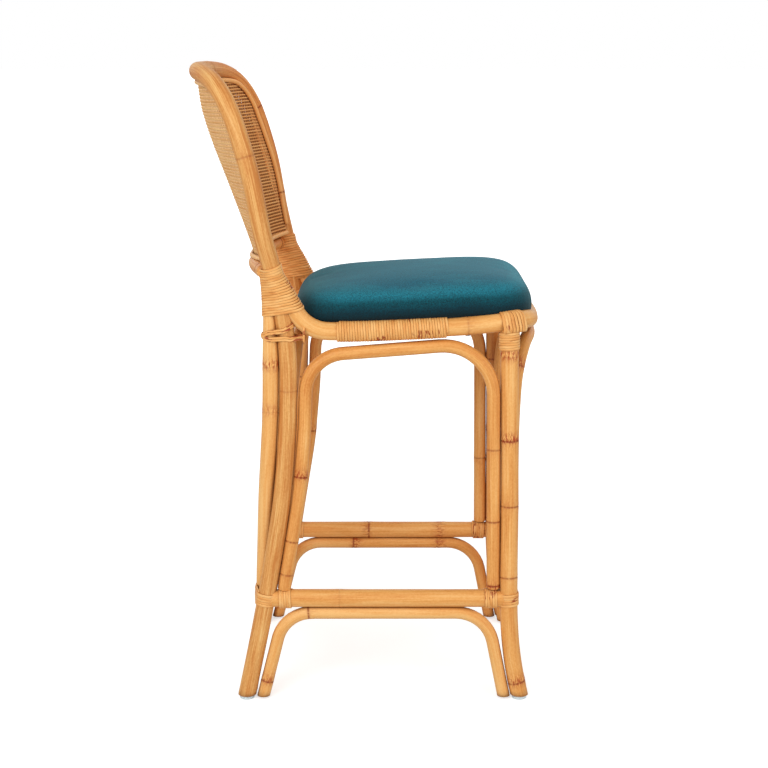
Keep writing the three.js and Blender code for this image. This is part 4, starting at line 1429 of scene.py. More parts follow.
@dataclass
class PoleFrame:
    """The poles: the hoop, the legs, the seat's rails, the stretchers and the arches."""

    layout: Layout

    def __post_init__(self) -> None:
        """Draws each pole with its nodes."""
        lay = self.layout
        lines = lay.lines()
        foot = {"floor": lay.glide_height + lay.gap}
        low = {"floor": lay.arch_foot_lift, "both_feet": True}
        hoop, support, leg, ring = (lines[name] for name in ("hoop", "support", "front_leg", "ring"))
        nodes = node_places(hoop, [(500, 0.25, 0.1), (856, 0.4, 0.1)])
        nodes += node_places(hoop, [(766, 0.9, 0.3), (913, 0.8, 0.2), (430, 0.8, 0.3)], from_end=True)
        nodes.append(Node(hoop.length * 0.5 + 60, 0.5, 0.2))
        # How dark each pole is, given pole by pole, is partly its own colour and partly painted shade for poles that
        # lie in shade.
        self.hoop = Pole(hoop, lay.pole, nodes, 3, both_feet=True, tone_and_shade=0.48, **foot)

        nodes = node_places(support, [(538, 0.15, 0.9), (467, 0.1, 0.5)])
        self.support = Pole(support, lay.support, nodes, 5, self._support_taper, tone_and_shade=0.22)
        near = [(28, 0.9, 0.8), (202, 0.7, 0.1), (317, 0.75, 0.2), (421, 1.0, 1.0), (552, 0.2, 1.0)]
        far = [(29, 0.8, 0.5), (190, 1.0, 0.6), (352, 0.9, 0.3), (480, 0.8, 0.3)]
        self.front_legs = [
            Pole(leg, lay.pole, node_places(leg, near), 7, tone_and_shade=0.34, **foot),
            Pole(leg.mirror(), lay.pole, node_places(leg, far), 8, tone_and_shade=0.42, **foot),
        ]

        nodes = node_places(ring, [(-128, 0.3, 0.2)], Y)
        nodes += [Node(ring.length * 0.5 - 95, 0.7, 0.4), Node(ring.length * 0.5 + 140, 0.7, 0.3)]
        self.ring = Pole(ring, lay.pole, nodes, 11, self._ring_taper, tone_and_shade=0.3)
        rail, bottom = lines["rear_rail"], lines["bottom_rail"]
        self.rear_rail = Pole(rail, lay.rear_rail, [Node(rail.length * 0.46, 0.7, 0.3)], 12)
        ends = [Node(run, 1.0, 0.0) for run in (25, bottom.length - 25)]
        nodes = [Node(bottom.length * 0.4, 0.6, 0.2), *ends]
        self.bottom_rail = Pole(bottom, lay.bottom_rail, nodes, 21, tone_and_shade=0.5)

        arch = lines["upper_side"]
        near = node_places(arch, [(364, 1.0, 0.9), (260, 0.8, 0.1), (206, 0.6, 0.2)])
        near += node_places(arch, [(407, 0.6, 0.1), (292, 0.8, 0.1), (188, 1.0, 1.0)], from_end=True)
        far = node_places(arch, [(350, 0.9, 0.5)])
        far += node_places(arch, [(480, 0.7, 0.2), (300, 0.6, 0.2)], from_end=True)
        self.upper_side = [
            Pole(arch, lay.upper_arch, near, 13, tone_and_shade=0.46),
            Pole(arch.mirror(), lay.upper_arch, far, 14, tone_and_shade=0.3),
        ]
        arch = lines["lower_side"]
        near = node_places(arch, [(29.6, 0.9, 0.7)]) + node_places(arch, [(118.5, 0.9, 0.2)], Y)
        far = node_places(arch, [(54.5, 0.9, 1.0), (-95, 0.3, 0.9)], Y)
        self.lower_side = [
            Pole(arch, lay.lower_arch, near, 15, tone_and_shade=0.16, **low),
            Pole(arch.mirror(), lay.lower_arch, far, 16, tone_and_shade=0.36, **low),
        ]

        arch = lines["upper_front"]
        nodes = node_places(arch, [(528, 0.6, 0.9), (300, 0.8, 0.3)])
        nodes += node_places(arch, [(420, 0.8, 0.3), (222, 0.6, 0.2)], from_end=True)
        self.upper_front = Pole(arch, lay.upper_arch, nodes, 17)
        arch = lines["upper_rear"]
        nodes = node_places(arch, [(330, 0.8, 0.3)]) + node_places(arch, [(455, 0.7, 0.2)], from_end=True)
        self.upper_rear = Pole(arch, lay.upper_arch, nodes, 18, tone_and_shade=0.5)
        self.lower_cross = []
        for seed, arch in ((19, lines["lower_front"]), (20, lines["lower_rear"])):
            nodes = [*node_places(arch, [(40, 0.8, 0.4)]), Node(arch.length * 0.56, 0.7, 0.3)]
            self.lower_cross.append(Pole(arch, lay.lower_arch, nodes, seed, **low))

        side, front, rear = (lines[f"{name}_stretcher"] for name in ("side", "front", "rear"))
        far = node_places(side, [(27, 0.9, 0.5), (-103, 0.1, 0.7)], Y)
        self.side_stretchers = [
            Pole(side, lay.pole, node_places(side, [(70, 0.12, 0.1)], Y), 22, tone_and_shade=0.34),
            Pole(side.mirror(), lay.pole, far, 23, tone_and_shade=0.34),
        ]
        self.front_stretcher = Pole(front, lay.pole, [Node(120, 0.8, 0.4), Node(268, 0.7, 0.2)], 24, tone_and_shade=0.35)
        self.rear_stretcher = Pole(rear, lay.pole, [Node(190, 0.8, 0.3)], 25, tone_and_shade=0.5)

    def _support_taper(self, run: Array) -> Array:
        """Returns the share of the radius left where the support is scarfed on the hoop."""
        return lerp(1.0, 7 / self.layout.support, smoothstep(run / self.support.line.length, 0.72, 1))

    def _ring_taper(self, run: Array) -> Array:
        """Returns the share of the radius left where the ring is scarfed on the hoop."""
        end = np.minimum(run, self.ring.line.length - run)
        return lerp(9 / self.layout.pole, 1.0, smoothstep(end, 0, 70))

    def build(self, shop: Workshop) -> None:
        """Makes the poles.

        Args:
            shop: the workshop that places them.
        """
        shop.place("hoop_pole", self.hoop.form(), "peeled", "back_hoop")
        support = self.support.form()
        pieces = {
            "ring_pole": (self.ring.form(), "seat_ring"),
            "rear_rail_pole": (self.rear_rail.form(), "seat_rear_rail"),
            "bottom_rail_pole": (self.bottom_rail.form(), "back_bottom_rail"),
            "footrest_pole": (self.front_stretcher.form(), "front_stretcher"),
            "rear_stretcher_pole": (self.rear_stretcher.form(), "rear_stretcher"),
            "front_arch_upper": (self.upper_front.form(), "upper_front_arch"),
            "rear_arch_upper": (self.upper_rear.form(), "upper_rear_arch"),
            "front_arch_lower": (self.lower_cross[0].form(), "lower_front_arch"),
            "rear_arch_lower": (self.lower_cross[1].form(), "lower_rear_arch"),
            "support_pole_left": (support, "rear_support_left"),
            "support_pole_right": (support.mirror(), "rear_support_right"),
        }
        for i, side in enumerate(("left", "right")):
            pieces[f"leg_pole_{side}"] = (self.front_legs[i].form(), f"front_leg_{side}")
            pieces[f"side_arch_upper_{side}"] = (self.upper_side[i].form(), f"upper_side_arch_{side}")
            pieces[f"side_arch_lower_{side}"] = (self.lower_side[i].form(), f"lower_side_arch_{side}")
            pieces[f"side_pole_{side}"] = (self.side_stretchers[i].form(), f"side_stretcher_{side}")
        for name, (form, node) in pieces.items():
            shop.place(name, form, "natural", node)


@dataclass
class Bindings:
    """The strands of peel wound round every joint."""

    layout: Layout
    poles: PoleFrame

    def windings(self) -> dict[str, Form]:
        """Winds the strands of the side at -X.

        Returns:
            The windings by the name of the node that they stand for, without its side.
        """
        lay, poles = self.layout, self.poles
        hoop, ring, leg, side = poles.hoop, poles.ring, poles.front_legs[0], poles.side_stretchers[0]
        across, up = vec(1, 0, 0), vec(0, 0, 1)
        low, high = lay.stretcher_height - 13, lay.stretcher_height + 12.5
        saddle = Pole(Line.of(ring.line.points + vec(-4, 0, -10)), lay.pole)
        part = {"sweep": (-112, 112), "fill": 1.2}
        by_place = {
            "back_binding": (hoop, Z, 619, 696, [ring, poles.support], across, 31, {}),
            "seat_splice_binding": (ring, Y, 73, -98, [poles.rear_rail], up, 32, {}),
            "seat_corner_binding": (ring, Y, -177, -206, [saddle], up, 33, part),
            "leg_top_binding": (leg, Z, 561, 593.5, [], across, 34, {}),
            "front_knot_binding": (leg, Z, low, high, [], across, 35, {}),
            "rear_knot_binding": (hoop, Z, low + 1, high, [poles.support], across, 36, {}),
        }
        by_run = {
            "side_stretcher_front_binding": (side, 9, 33, 37),
            "side_stretcher_rear_binding": (side, side.line.length - 35, side.line.length - 11, 38),
            "front_stretcher_binding": (poles.front_stretcher, 11, 35, 39),
            "rear_stretcher_binding": (poles.rear_stretcher, 8, 32, 40),
        }
        forms = {}
        for name, (pole, axis, start, end, others, normal, seed, more) in by_place.items():
            places = (pole.line.where(axis, value) for value in (start, end))
            forms[name] = Winding(pole.line, *places, [pole, *others], normal, seed, **more).form()
        for name, (pole, start, end, seed) in by_run.items():
            forms[name] = Winding(pole.line, start, end, [pole], up, seed).form()
        return forms

    def lashing(self) -> Form:
        """Lays the loose strands round the support and the rear leg, and the bow in front of them.

        Returns:
            The strands.
        """
        hoop, support = self.poles.hoop, self.poles.support
        reach = Pole(Line.of([vec(-188, 128, 500), vec(-188, 128, 650)]), 5.0)
        width = STRAND_WIDTH * 0.88
        known = (560, 620)
        known_runs = [hoop.line.where(Z, height) for height in known]
        turn = (1 - np.cos(np.linspace(0, TURN, 61))) / 2
        loops = []
        # The seed of each strand, its heights behind and in front, whether it reaches forward and whether it
        # lies over the others.
        strands = (
            (51, 592.5, 603.0, False, False), (52, 588.8, 599.4, False, True),
            (53, 590.8, 580.0, True, True), (54, 587.2, 576.4, True, False),
        )
        for seed, rear_z, front_z, long, over in strands:
            bundle = [hoop, support, reach] if long else [hoop, support]
            plan = Winding(hoop.line, 0, 1, bundle, vec(0, -1, 0), seed, clearance=0.3)
            runs = np.interp(lerp(front_z, rear_z, turn), known, known_runs)
            points, outward, _ = plan.surface(runs, np.linspace(0, TURN, 61))
            if over:
                points += outward * (STRAND_THICKNESS * 0.5 * turn)[:, None]
            across = unit(np.cross(outward, unit(np.gradient(points, axis=0))))
            loops.append(ribbon(points, outward, across, width, seed, tucked=1))
        angles = np.linspace(0, TURN, 41)
        out = np.stack([-np.cos(angles), np.zeros_like(angles), np.sin(angles)], axis=-1)
        bow = vec(15.5, 1.0, 15.0) * out + vec(-187.5, 121, 589.5)
        loops.append(ribbon(bow, out, np.tile(vec(0, 1, 0), (len(angles), 1)), width, 55, tucked=1))
        return Form.joined(loops)

    def build(self, shop: Workshop) -> None:
        """Makes both sides' bindings.

        Args:
            shop: the workshop that places them.
        """
        for name, form in {**self.windings(), "rear_lashing": self.lashing()}.items():
            shop.place(f"{name}_strand_left", form, "peel", f"{name}_left")
            shop.place(f"{name}_strand_right", form.mirror(), "peel", f"{name}_right")


# ---------------------------------------- back


@dataclass
class CaneBack:
    """The woven cane, bowed between the hoop and its bottom rail, with its half-round beads.

    Attributes:
        pitch, row_pitch: how far apart the uprights stand, and the cross strands.
        strand_width, strand_thickness: the size of a cross strand.
        upright_width, upright_thickness: the size of an upright.
        weave: how far a strand goes over and under.
        hollow_shade: how much painted shade a cross strand gets between two uprights.
        inset, rail_rise: how far inside the hoop's axis and over the bottom rail the cane ends.
        row_heights: from which height to which the cross strands lie.
        half_width: how far from the middle the uprights stand at the most.
        edge_depth, edge_rise: how far behind the back surface the cane's edge hangs, and what is added high up.
        belly_depth, belly_swell, belly_return: the same for its middle, and what is taken off again at the top.
        belly_reach, belly_narrowing: half the width of that belly, and how much narrower it is at the top.
        bead_radius, bead_start: a bead's radius, and the height at which the hoop's beads start.
        front_bead, rear_bead: how far behind the cane's middle and from the hoop's axis each of them lies.
        bottom_bead_reach: half the length of a bottom bead.
        bottom_bead_gap, bottom_bead_rise: how far it lies from the cane's middle and over the rail.
    """

    layout: Layout
    poles: PoleFrame
    pitch: float = 6.2
    row_pitch: float = 5.05
    strand_width: float = 3.0
    strand_thickness: float = 3.9
    upright_width: float = 4.7
    upright_thickness: float = 2.7
    weave: float = 0.15
    hollow_shade: float = 0.35
    inset: float = 12.8
    rail_rise: float = 1.6
    row_heights: tuple[float, float] = (686.0, 972.0)
    half_width: float = 195
    edge_depth: float = -8.5
    edge_rise: float = 2
    belly_depth: float = 3.8
    belly_swell: float = 5
    belly_return: float = 6
    belly_reach: float = 200
    belly_narrowing: float = 50
    bead_radius: float = 3.7
    bead_start: float = 703
    front_bead: tuple[float, float] = (-4.4, 17.6)
    rear_bead: tuple[float, float] = (3.4, 16.6)
    bottom_bead_reach: float = 177
    bottom_bead_gap: float = 2.3
    bottom_bead_rise: float = 0.5

    def depth(self, x: Array, z: Array) -> Array:
        """Finds how far behind the back surface the cane hangs.

        Args:
            x: places across.
            z: their heights.

        Returns:
            The depths.
        """
        reach = self.belly_reach - self.belly_narrowing * smoothstep(z, 890, 955)
        belly = self.belly_depth + self.belly_swell * smoothstep(z, 800, 950)
        belly = belly - self.belly_return * smoothstep(z, 915, 980)
        edge = self.edge_depth + self.edge_rise * smoothstep(z, 780, 930)
        return lerp(edge, belly, np.maximum(0, 1 - (x / reach) ** 2))

    def off_back(self, x: Array, z: Array, depth: Array, step: float = 0.5) -> Array:
        """Places points square off the back surface.

        Args:
            x: their places across.
            z: their heights on the surface.
            depth: how far behind it they lie.
            step: the step over which the surface's slope is read.

        Returns:
            The points.
        """
        lay = self.layout
        across = lay.backsurface(x + step, z) - lay.backsurface(x - step, z)
        rise = lay.backsurface(x, z + step) - lay.backsurface(x, z - step)
        return lay.backsurface(x, z) + unit(np.cross(rise, across)) * np.asarray(depth)[..., None]

    def rail_top(self, x: Array) -> Array:
        """Returns the height of the bottom rail's top at a place across."""
        points = self.poles.bottom_rail.line.points
        return np.interp(x, points[:, 0], points[:, 2]) + self.layout.bottom_rail

    def outline(self, inset: float) -> Array:
        """Draws the left half of an edge inside the hoop.

        Args:
            inset: how far inside the hoop's axis it lies.

        Returns:
            Places across and heights, from the rail to the middle of the top.
        """
        hoop = self.poles.hoop.line
        heights = np.arange(694.0, 767, 18)
        sides = np.array([hoop.at(hoop.where(Z, z))[0] for z in heights])
        low = np.stack([inset - np.abs(sides), heights], axis=-1)
        places = np.linspace(-0.985, 0, 60)
        above = self.layout.inside_hoop(places, 15.0)[:, 2] > 772
        return np.vstack([low, self.layout.inside_hoop(places[above], inset)[:, [0, 2]]])

    def strand(self, x: Array, z: Array, under: Array, upright: bool, seed: int) -> Form:
        """Makes one cane strand.

        Args:
            x: its places across.
            z: its heights.
            under: how far it lies behind the cane's middle at each place.
            upright: whether it runs up the back.
            seed: what makes its grain its own.

        Returns:
            The strand.
        """
        width = self.upright_width if upright else self.strand_width
        thickness = self.upright_thickness if upright else self.strand_thickness
        centre = self.off_back(x, z, self.depth(x, z) + under)
        rear = unit(self.off_back(x, z, np.ones_like(x)) - self.off_back(x, z, np.zeros_like(x)))
        across = unit(np.cross(rear, unit(np.gradient(centre, axis=0))))
        section = np.array([(-1, 0), (-0.7, 0.95), (0.7, 0.95), (1, 0), (0.7, -0.95), (-0.7, -0.95)])
        side, out = section.T
        rings = swept(section, centre, across, rear, width / 2, thickness / 2)
        grain = grain_of(distances(centre) + seed * 91.0, side * self.strand_width / 2, out + seed * 7.0)
        marks = np.zeros(rings.shape)
        # Painted shade on an upright's front face and painted light on its rear face; on a cross strand, painted shade
        # along its edges and between two uprights.
        if upright:
            marks[..., 0], marks[..., 1] = out < 0, out > 0
        else:
            between = 0.5 - 0.5 * np.cos(TURN * x / self.pitch)
            marks[..., 0] = np.maximum(np.abs(side) > 0.9, self.hollow_shade * between[:, None])
        return Form.lofted(rings, grain, marks)

    def woven(self) -> Form:
        """Weaves the strands over and under each other.

        Returns:
            All the strands, first the uprights and then the rows.
        """
        across, up = self.outline(self.inset).T
        strands = []
        columns = int(self.half_width / self.pitch)
        heights = np.arange(*self.row_heights, self.row_pitch)
        first = -columns * self.pitch
        for i, column in enumerate(range(-columns, columns + 1)):
            x = column * self.pitch
            top = float(np.interp(-abs(x), np.maximum.accumulate(across), up))
            bottom = float(self.rail_top(x)) + self.rail_rise
            if top - bottom < 12:
                continue
            z = np.arange(bottom, top, self.row_pitch / 2)
            phase = math.pi * (z - heights[0]) / self.row_pitch
            under = self.weave * np.cos(phase + math.pi * i)
            strands.append(self.strand(np.full_like(z, x), z, under, True, i))
        for j, height in enumerate(heights):
            half = abs(float(np.interp(height, up, across)))
            x = np.arange(-half, half + 0.01, self.pitch / 2)
            x = np.concatenate([x[x < half], [half]])
            x = x[height > self.rail_top(x) + self.rail_rise]
            if len(x) < 6 or half < 12:
                continue
            phase = math.pi * (x - first) / self.pitch
            under = -self.weave * np.cos(phase + math.pi * j)
            strands.append(self.strand(x, np.full_like(x, height), under, False, 300 + j))
        return Form.joined(strands)

    def bead(self, depth: float, gap: float, seed: int) -> Form:
        """Bends a half-round bead along the inside of the hoop.

        Args:
            depth: how far behind the cane its middle lies.
            gap: how far its middle lies from the middle of the hoop's pole.
            seed: what makes its grain its own.

        Returns:
            The bead.
        """
        outer, inner, middle = (self.outline(inset) for inset in (0.0, 20.0, 15.0))
        behind = self.depth(*middle.T) + depth
        inset = np.sqrt(np.maximum(gap**2 - behind**2, 25.0))
        x, z = lerp(outer, inner, inset[:, None] / 20).T
        keep = (z > self.bead_start) & ((np.abs(x) > 6) | (np.arange(len(x)) == len(x) - 1))
        half = self.off_back(x[keep], z[keep], behind[keep])
        line = Line.smooth(both_sides(half[:-1][::4], half[-1]), 6)
        nodes = node_places(line, [(768, 0.9, 0.3)], from_end=True)
        # The beads are painted lighter than the poles: partly a paler colour, partly painted light.
        return Pole(line, self.bead_radius, nodes, seed, sides=14, tone_and_shade=-0.2).form()

    def bottom_bead(self, side: int, seed: int) -> Form:
        """Lays the straight bead along the bottom rail.

        Args:
            side: -1 for the one in front of the cane and 1 for the one behind it.
            seed: what makes its grain its own.

        Returns:
            The bead.
        """
        x = np.linspace(-self.bottom_bead_reach, self.bottom_bead_reach, 21)
        z = self.rail_top(x) + self.bead_radius + self.bottom_bead_rise
        depth = self.depth(x, z) + side * (self.bottom_bead_gap + self.bead_radius)
        line = Line.smooth(self.off_back(x, z, depth), 4)
        # The beads are painted lighter than the poles: partly a paler colour, partly painted light.
        return Pole(line, self.bead_radius, [], seed, sides=14, tone_and_shade=-0.2).form()

    def build(self, shop: Workshop) -> None:
        """Makes the cane and its beads.

        Args:
            shop: the workshop that places them.
        """
        shop.place("woven_cane", self.woven(), "cane", "cane_panel")
        shop.place("front_bead", self.bead(*self.front_bead, 61), "natural", "panel_bead_front")
        shop.place("rear_bead", self.bead(*self.rear_bead, 62), "natural", "panel_bead_rear")
        shop.place("bottom_bead_a", self.bottom_bead(-1, 63), "natural", "bottom_bead_front")
        shop.place("bottom_bead_b", self.bottom_bead(1, 64), "natural", "bottom_bead_rear")


# ---------------------------------------- seat


def modify(piece: bpy.types.Object, kind: str, **settings: object) -> bpy.types.Modifier:
    """Gives a piece a modifier.

    Args:
        piece: the object.
        kind: the modifier's type.
        settings: its settings.

    Returns:
        The modifier.
    """
    made = piece.modifiers.new(kind.lower(), kind)
    for key, value in settings.items():
        setattr(made, key, value)
    return made


@dataclass
class Seat:
    """The velvet pad on its board.

    Attributes:
        middle_y, half_length, half_width: how far back its middle lies, and half its size.
        board_rise, board_level_y: how far over the side rails the board's underside lies, and how far back.
        board_slope: how much it rises for each millimetre to the front.
        squareness: how square its outline is.
        shrink: how much smaller it starts, before it swells.
        most_swell, held_rise: how far a point may swell, and under what height over the board it is held.
        sink, front_sag, rear_sag: how far it has sunk in, and how much further its front and rear edges hang.
        front_dip, dip_half_width: how far it dips between the front corners, and half that dip's width.
        section: the inset and the rise over the board of each of its levels, from below to the top.
    """

    layout: Layout
    middle_y: float = -46
    half_length: float = 190
    half_width: float = 194
    board_rise: float = 13.8
    board_level_y: float = 60
    board_slope: float = 0.0545
    squareness: float = 4.8
    shrink: float = 1.2
    most_swell: float = 5.0
    held_rise: float = 9
    sink: float = 2.4
    front_sag: float = 5
    rear_sag: float = 3
    front_dip: float = 15
    dip_half_width: float = 175
    section: tuple[tuple[float, float], ...] = (
        (40, -6.5), (20, -6.5), (9, -6.2), (3, -4.4), (0.6, 0), (0, 7), (0, 12), (0.6, 16), (2.4, 21), (5.4, 27),
        (9.4, 32.2), (15.2, 36.8), (23, 40.6), (34, 43.5), (46, 45.7), (62, 47.3), (85, 48.8), (115, 49.8), (150, 50.3),
    )

    def board_under(self, y: Array) -> Array:
        """Returns the height of the board's underside."""
        return self.layout.side_rail_height + self.board_rise - (y - self.board_level_y) * self.board_slope

    def ring(self, inset: float, rise: float) -> Array:
        """Draws one level line of the pad.

        Args:
            inset: how far inside the widest outline it lies.
            rise: its height over the board's underside.

        Returns:
            The points.
        """
        angle = round_angles(120)
        x = (self.half_width - inset) * squared(np.cos(angle), self.squareness)
        y = self.middle_y + (self.half_length - inset) * squared(np.sin(angle), self.squareness)
        dip = self.front_dip * smoothstep(-y, 195, 238) * np.maximum(0, 1 - (x / self.dip_half_width) ** 2)
        sag = self.front_sag * smoothstep(-y, 100, 215) + self.rear_sag * smoothstep(y, 70, 135)
        down = dip * (1 - rise / 70) + self.sink + sag * (1 - rise / 50)
        return np.stack([x, y, self.board_under(y) + rise - down], axis=-1)

    def start_form(self) -> Form:
        """Returns the pad before it swells."""
        return Form.lofted(np.array([self.ring(inset + self.shrink, rise) for inset, rise in self.section]))

    def swell(self, pad: bpy.types.Object, shift: float) -> None:
        """Swells the pad by a cloth simulation and keeps the result.

        Args:
            pad: the pad's object.
            shift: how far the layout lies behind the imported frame.
        """
        scene = bpy.context.scene
        rest, swollen = np.empty((2, len(pad.data.vertices) * 3))
        pad.data.vertices.foreach_get("co", rest)
        rest = rest.reshape(-1, 3)
        low = (self.board_under(rest[:, 1] / MM + shift) + self.held_rise) * MM
        held = pad.vertex_groups.new(name="held")
        held.add([int(i) for i in np.nonzero(rest[:, 2] < low)[0]], 1.0, "REPLACE")
        cloth = modify(pad, "CLOTH")
        settings = {
            "quality": 6, "mass": 0.4, "tension_stiffness": 60, "compression_stiffness": 60, "shear_stiffness": 30,
            "bending_stiffness": 60, "use_pressure": True, "uniform_pressure_force": 4.0, "vertex_group_mass": "held",
        }
        for key, value in settings.items():
            setattr(cloth.settings, key, value)
        cloth.settings.effector_weights.gravity = 0.0
        for number in range(1, 12):
            scene.frame_set(number)
        graph = bpy.context.evaluated_depsgraph_get()
        pad.evaluated_get(graph).to_mesh().vertices.foreach_get("co", swollen)
        pad.modifiers.remove(cloth)
        pad.vertex_groups.clear()
        moved = swollen.reshape(-1, 3) - rest
        far = np.linalg.norm(moved, axis=1, keepdims=True)
        cap = self.most_swell * MM
        moved *= np.minimum(1.0, cap * np.tanh(far / cap) / np.maximum(far, 1e-9))
        pad.data.vertices.foreach_set("co", (rest + moved).ravel())
        pad.data.update()
        scene.frame_set(1)

    def plump(self, pad: bpy.types.Object) -> None:
        """Fills the pad out evenly, as the simulation does.

        Args:
            pad: the pad's object.
        """
        for vertex in pad.data.vertices:
            out = vertex.normal.copy()
            out.z = max(out.z, 0.0)
            vertex.co += out * (self.shrink * MM)

    def build(self, shop: Workshop, quick: bool) -> None:
        """Makes the pad.

        Args:
            shop: the workshop that places it.
            quick: whether the simulation is left out.
        """
        pad = shop.place("velvet_pad", self.start_form(), "velvet", "cushion")
        modify(pad, "REMESH", mode="VOXEL", voxel_size=0.0055)
        modify(pad, "SMOOTH", iterations=6)
        self.apply(pad)
        if quick:
            self.plump(pad)
        else:
            self.swell(pad, shop.shift)
        modify(pad, "SMOOTH", iterations=24)
        modify(pad, "SUBSURF", levels=1, render_levels=1)
        self.apply(pad)
        pad.data.shade_smooth()
        LOG.info("pad finished, %d faces", len(pad.data.polygons))

    @staticmethod
    def apply(piece: bpy.types.Object) -> None:
        """Makes a piece's modifiers part of its mesh.

        Args:
            piece: the object.
        """
        graph = bpy.context.evaluated_depsgraph_get()
        mesh = bpy.data.meshes.new_from_object(piece.evaluated_get(graph))
        materials = list(piece.data.materials)
        piece.modifiers.clear()
        piece.data = mesh
        mesh.materials.clear()
        for material in materials:
            mesh.materials.append(material)


@dataclass
class Fittings:
    """The clear glides under the legs, the screws under the seat and the board."""

    layout: Layout
    poles: PoleFrame

    @staticmethod
    def turned(profile: Sequence[tuple[float, float]], x: float, y: float, count: int = 40) -> Form:
        """Turns a profile about an upright axis.

        Args:
            profile: the radius and height of each of its points, from the axis below to the axis above.
            x: the axis's place across.
            y: the axis's place in depth.
            count: faces round it.

        Returns:
            The turned form.
        """
        angle = round_angles(count)
        rings = [np.stack([x + r * np.cos(angle), y + r * np.sin(angle), np.full(count, z)], -1) for r, z in profile]
        return Form.lofted(np.array(rings))

    def build(self, shop: Workshop, board: bpy.types.Object) -> None:
        """Makes the fittings.

        Args:
            shop: the workshop that places them.
            board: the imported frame's seat board, which only gets its material.
        """
        radius, height = self.layout.glide_radius, self.layout.glide_height
        glide = [
            (0.4, 0.0), (radius - 2.2, 0.0), (radius - 0.8, 0.25), (radius - 0.1, 1.0), (radius, 2.2),
            (radius - 0.2, 3.6), (radius - 0.9, 4.2), (radius - 1.1, height - 0.2), (radius - 1.6, height),
            (0.4, height),
        ]
        for name, pole in (("front", self.poles.front_legs[0]), ("rear", self.poles.hoop)):
            x, y, _ = pole.line.at(pole.line.where(Z, height))
            for side, sign in (("left", 1), ("right", -1)):
                form = self.turned(glide, x * sign, y)
                shop.place(f"{name}_glide_disc_{side}", form, "clear", f"{name}_glide_{side}")
        for number in range(1, 5):
            low, high = (np.array(corner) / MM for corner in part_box(f"seat_screw_{number}"))
            x, y, base = (low + high)[0] / 2, (low + high)[1] / 2 + shop.shift, low[2]
            screw = [
                (0.3, base + 0.9), (1.5, base + 0.9), (1.7, base + 0.1), (2.6, base), (3.9, base + 0.7),
                (4.15, base + 2.0), (1.95, base + 2.1), (1.95, high[2] - 2), (0.3, high[2]),
            ]
            form = self.turned(screw, x, y, 24)
            shop.place(f"seat_screw_body_{number}", form, "steel", f"seat_screw_{number}")
        board.data.materials.clear()
        board.data.materials.append(shop.materials["plywood"])


# ---------------------------------------- studio


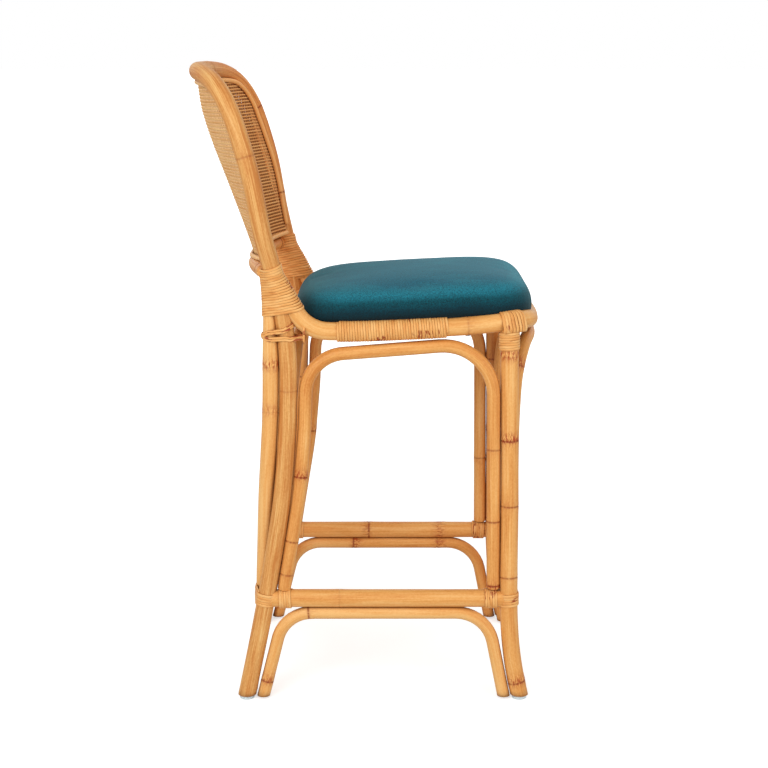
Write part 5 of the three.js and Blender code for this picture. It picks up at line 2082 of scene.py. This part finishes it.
@dataclass
class Studio:
    """A white floor, soft light from the upper left and front, and the camera beside the stool.

    Attributes:
        shift: how far the maker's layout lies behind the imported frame, in millimetres.
        distance: how far from the stool the camera stands, in metres.
        height: its height.
        pitch: how far down it looks, in radians.
        lens: its focal length, in millimetres.
        floor_reach: how far the floor reaches, in metres.
    """

    shift: float
    distance: float = 2.65
    height: float = 1.02229
    pitch: float = 0.20506
    lens: float = 77.08
    floor_reach: float = 60.0

    def floor(self) -> None:
        """Lays the white floor, which keeps the stool's shadow."""
        sheet = ShaderSheet("white_floor")
        seen = sheet.node("ShaderNodeLightPath", output="Is Camera Ray")
        away = sheet.node("ShaderNodeVectorMath", {"operation": "LENGTH"}, {0: sheet.place()}, "Value")
        strength = seen * (away.between(0.4, 3.0) * 0.4 + 0.59)
        glow = sheet.node("ShaderNodeEmission", None, {"Color": WHITE, "Strength": strength})
        matt = sheet.node("ShaderNodeBsdfDiffuse", None, {"Color": (0.76, 0.79, 0.82, 1)})
        both = sheet.node("ShaderNodeAddShader", None, {0: matt, 1: glow})
        sheet.node("ShaderNodeOutputMaterial", None, {0: both})
        mesh = bpy.data.meshes.new("studio_floor")
        corners = [(x * self.floor_reach, y * self.floor_reach, 0) for x, y in ((-1, -1), (1, -1), (1, 1), (-1, 1))]
        mesh.from_pydata(corners, [], [(0, 1, 2, 3)])
        mesh.materials.append(sheet.owner)
        floor = bpy.data.objects.new("studio_floor", mesh)
        bpy.context.scene.collection.objects.link(floor)
        floor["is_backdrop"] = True

    def world(self) -> None:
        """Surrounds the stool with even light, which shows as plain white."""
        sheet = ShaderSheet("studio_world", bpy.data.worlds)
        camera, glossy, through = (
            sheet.node("ShaderNodeLightPath", output=f"Is {kind} Ray") for kind in ("Camera", "Glossy", "Transmission")
        )
        light = sheet.node("ShaderNodeBackground", None, {"Color": (1.0, 0.96, 0.91, 1), "Strength": 0.59})
        white = sheet.node("ShaderNodeBackground", None, {"Color": WHITE, "Strength": 1.0})
        shown = camera.maximum(glossy).maximum(through)
        mix = sheet.node("ShaderNodeMixShader", None, {0: shown, 1: light, 2: white})
        sheet.node("ShaderNodeOutputWorld", None, {0: mix})
        bpy.context.scene.world = sheet.owner

    def lamp(self, name: str, place: Array, size: float, power: float, color: tuple[float, float, float]) -> None:
        """Hangs a soft square lamp that points at the middle of the stool.

        Args:
            name: its name.
            place: where it hangs, in metres.
            size: the side of its square.
            power: its power in watts.
            color: its colour.
        """
        data = bpy.data.lights.new(name, "AREA")
        data.size, data.energy, data.color = size, power, color
        lamp = bpy.data.objects.new(name, data)
        bpy.context.scene.collection.objects.link(lamp)
        away = unit(place - vec(0, 0, 0.55))
        side = unit(np.cross(vec(0, 0, 1), away))
        lamp.location = place
        lamp.rotation_euler = Matrix(np.column_stack([side, np.cross(away, side), away]).tolist()).to_euler()

    def build(self) -> None:
        """Sets the floor, the light and the camera."""
        self.floor()
        self.world()
        self.lamp("key_lamp", vec(-2.9, 1.4, 2.0), 2.2, 56, (1.0, 0.99, 0.97))
        self.lamp("fill_lamp", vec(-2.4, -2.5, 1.6), 2.4, 28, (1.0, 0.99, 0.98))
        data = bpy.data.cameras.new("camera")
        data.lens, data.sensor_width = self.lens, 36.0
        camera = bpy.data.objects.new("camera", data)
        camera.location = (-self.distance, -self.shift * MM, self.height)
        camera.rotation_euler = (math.pi / 2 - self.pitch, 0, -math.pi / 2)
        scene = bpy.context.scene
        scene.collection.objects.link(camera)
        scene.camera = camera
        scene.view_settings.view_transform = "Standard"


def corners() -> list[list[float]]:
    """Returns the whole object's lowest and highest corners as plain lists."""
    return [[float(c) for c in corner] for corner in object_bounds()]


def main() -> None:
    """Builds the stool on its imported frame, piece by piece."""
    logging.basicConfig(level=logging.INFO, format="%(message)s", stream=sys.stdout)
    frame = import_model()
    layout = Layout()
    seat = Seat(layout)
    shift = seat.middle_y + seat.half_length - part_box("cushion")[1].y / MM
    peeled = RattanFinish(Skin.PEELED, paint(236, 190, 123), paint(225, 167, 97), paint(199, 127, 61))
    finishes = {
        "natural": (RattanFinish(), "pole"),
        "peeled": (peeled, "pole"),
        "peel": (PeelFinish(), "peel"),
        "cane": (CaneFinish(), "cane"),
        "velvet": (VelvetFinish(), "plush"),
        "plywood": (PlywoodFinish(), "plywood"),
        "clear": (GlideFinish(), "glide"),
        "steel": (SteelFinish(), "screw"),
    }
    materials = {name: finish.material() for name, (finish, _) in finishes.items()}
    shop = Workshop(shift, materials, {name: slot for name, (_, slot) in finishes.items()})
    Studio(shift).build()
    poles = PoleFrame(layout)
    poles.build(shop)
    Bindings(layout, poles).build(shop)
    CaneBack(layout, poles).build(shop)
    seat.build(shop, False)
    Fittings(layout, poles).build(shop, frame["nodes"]["seat_board"])
    LOG.info("%d pieces made", shop.made)


if __name__ == "__main__":
    main()
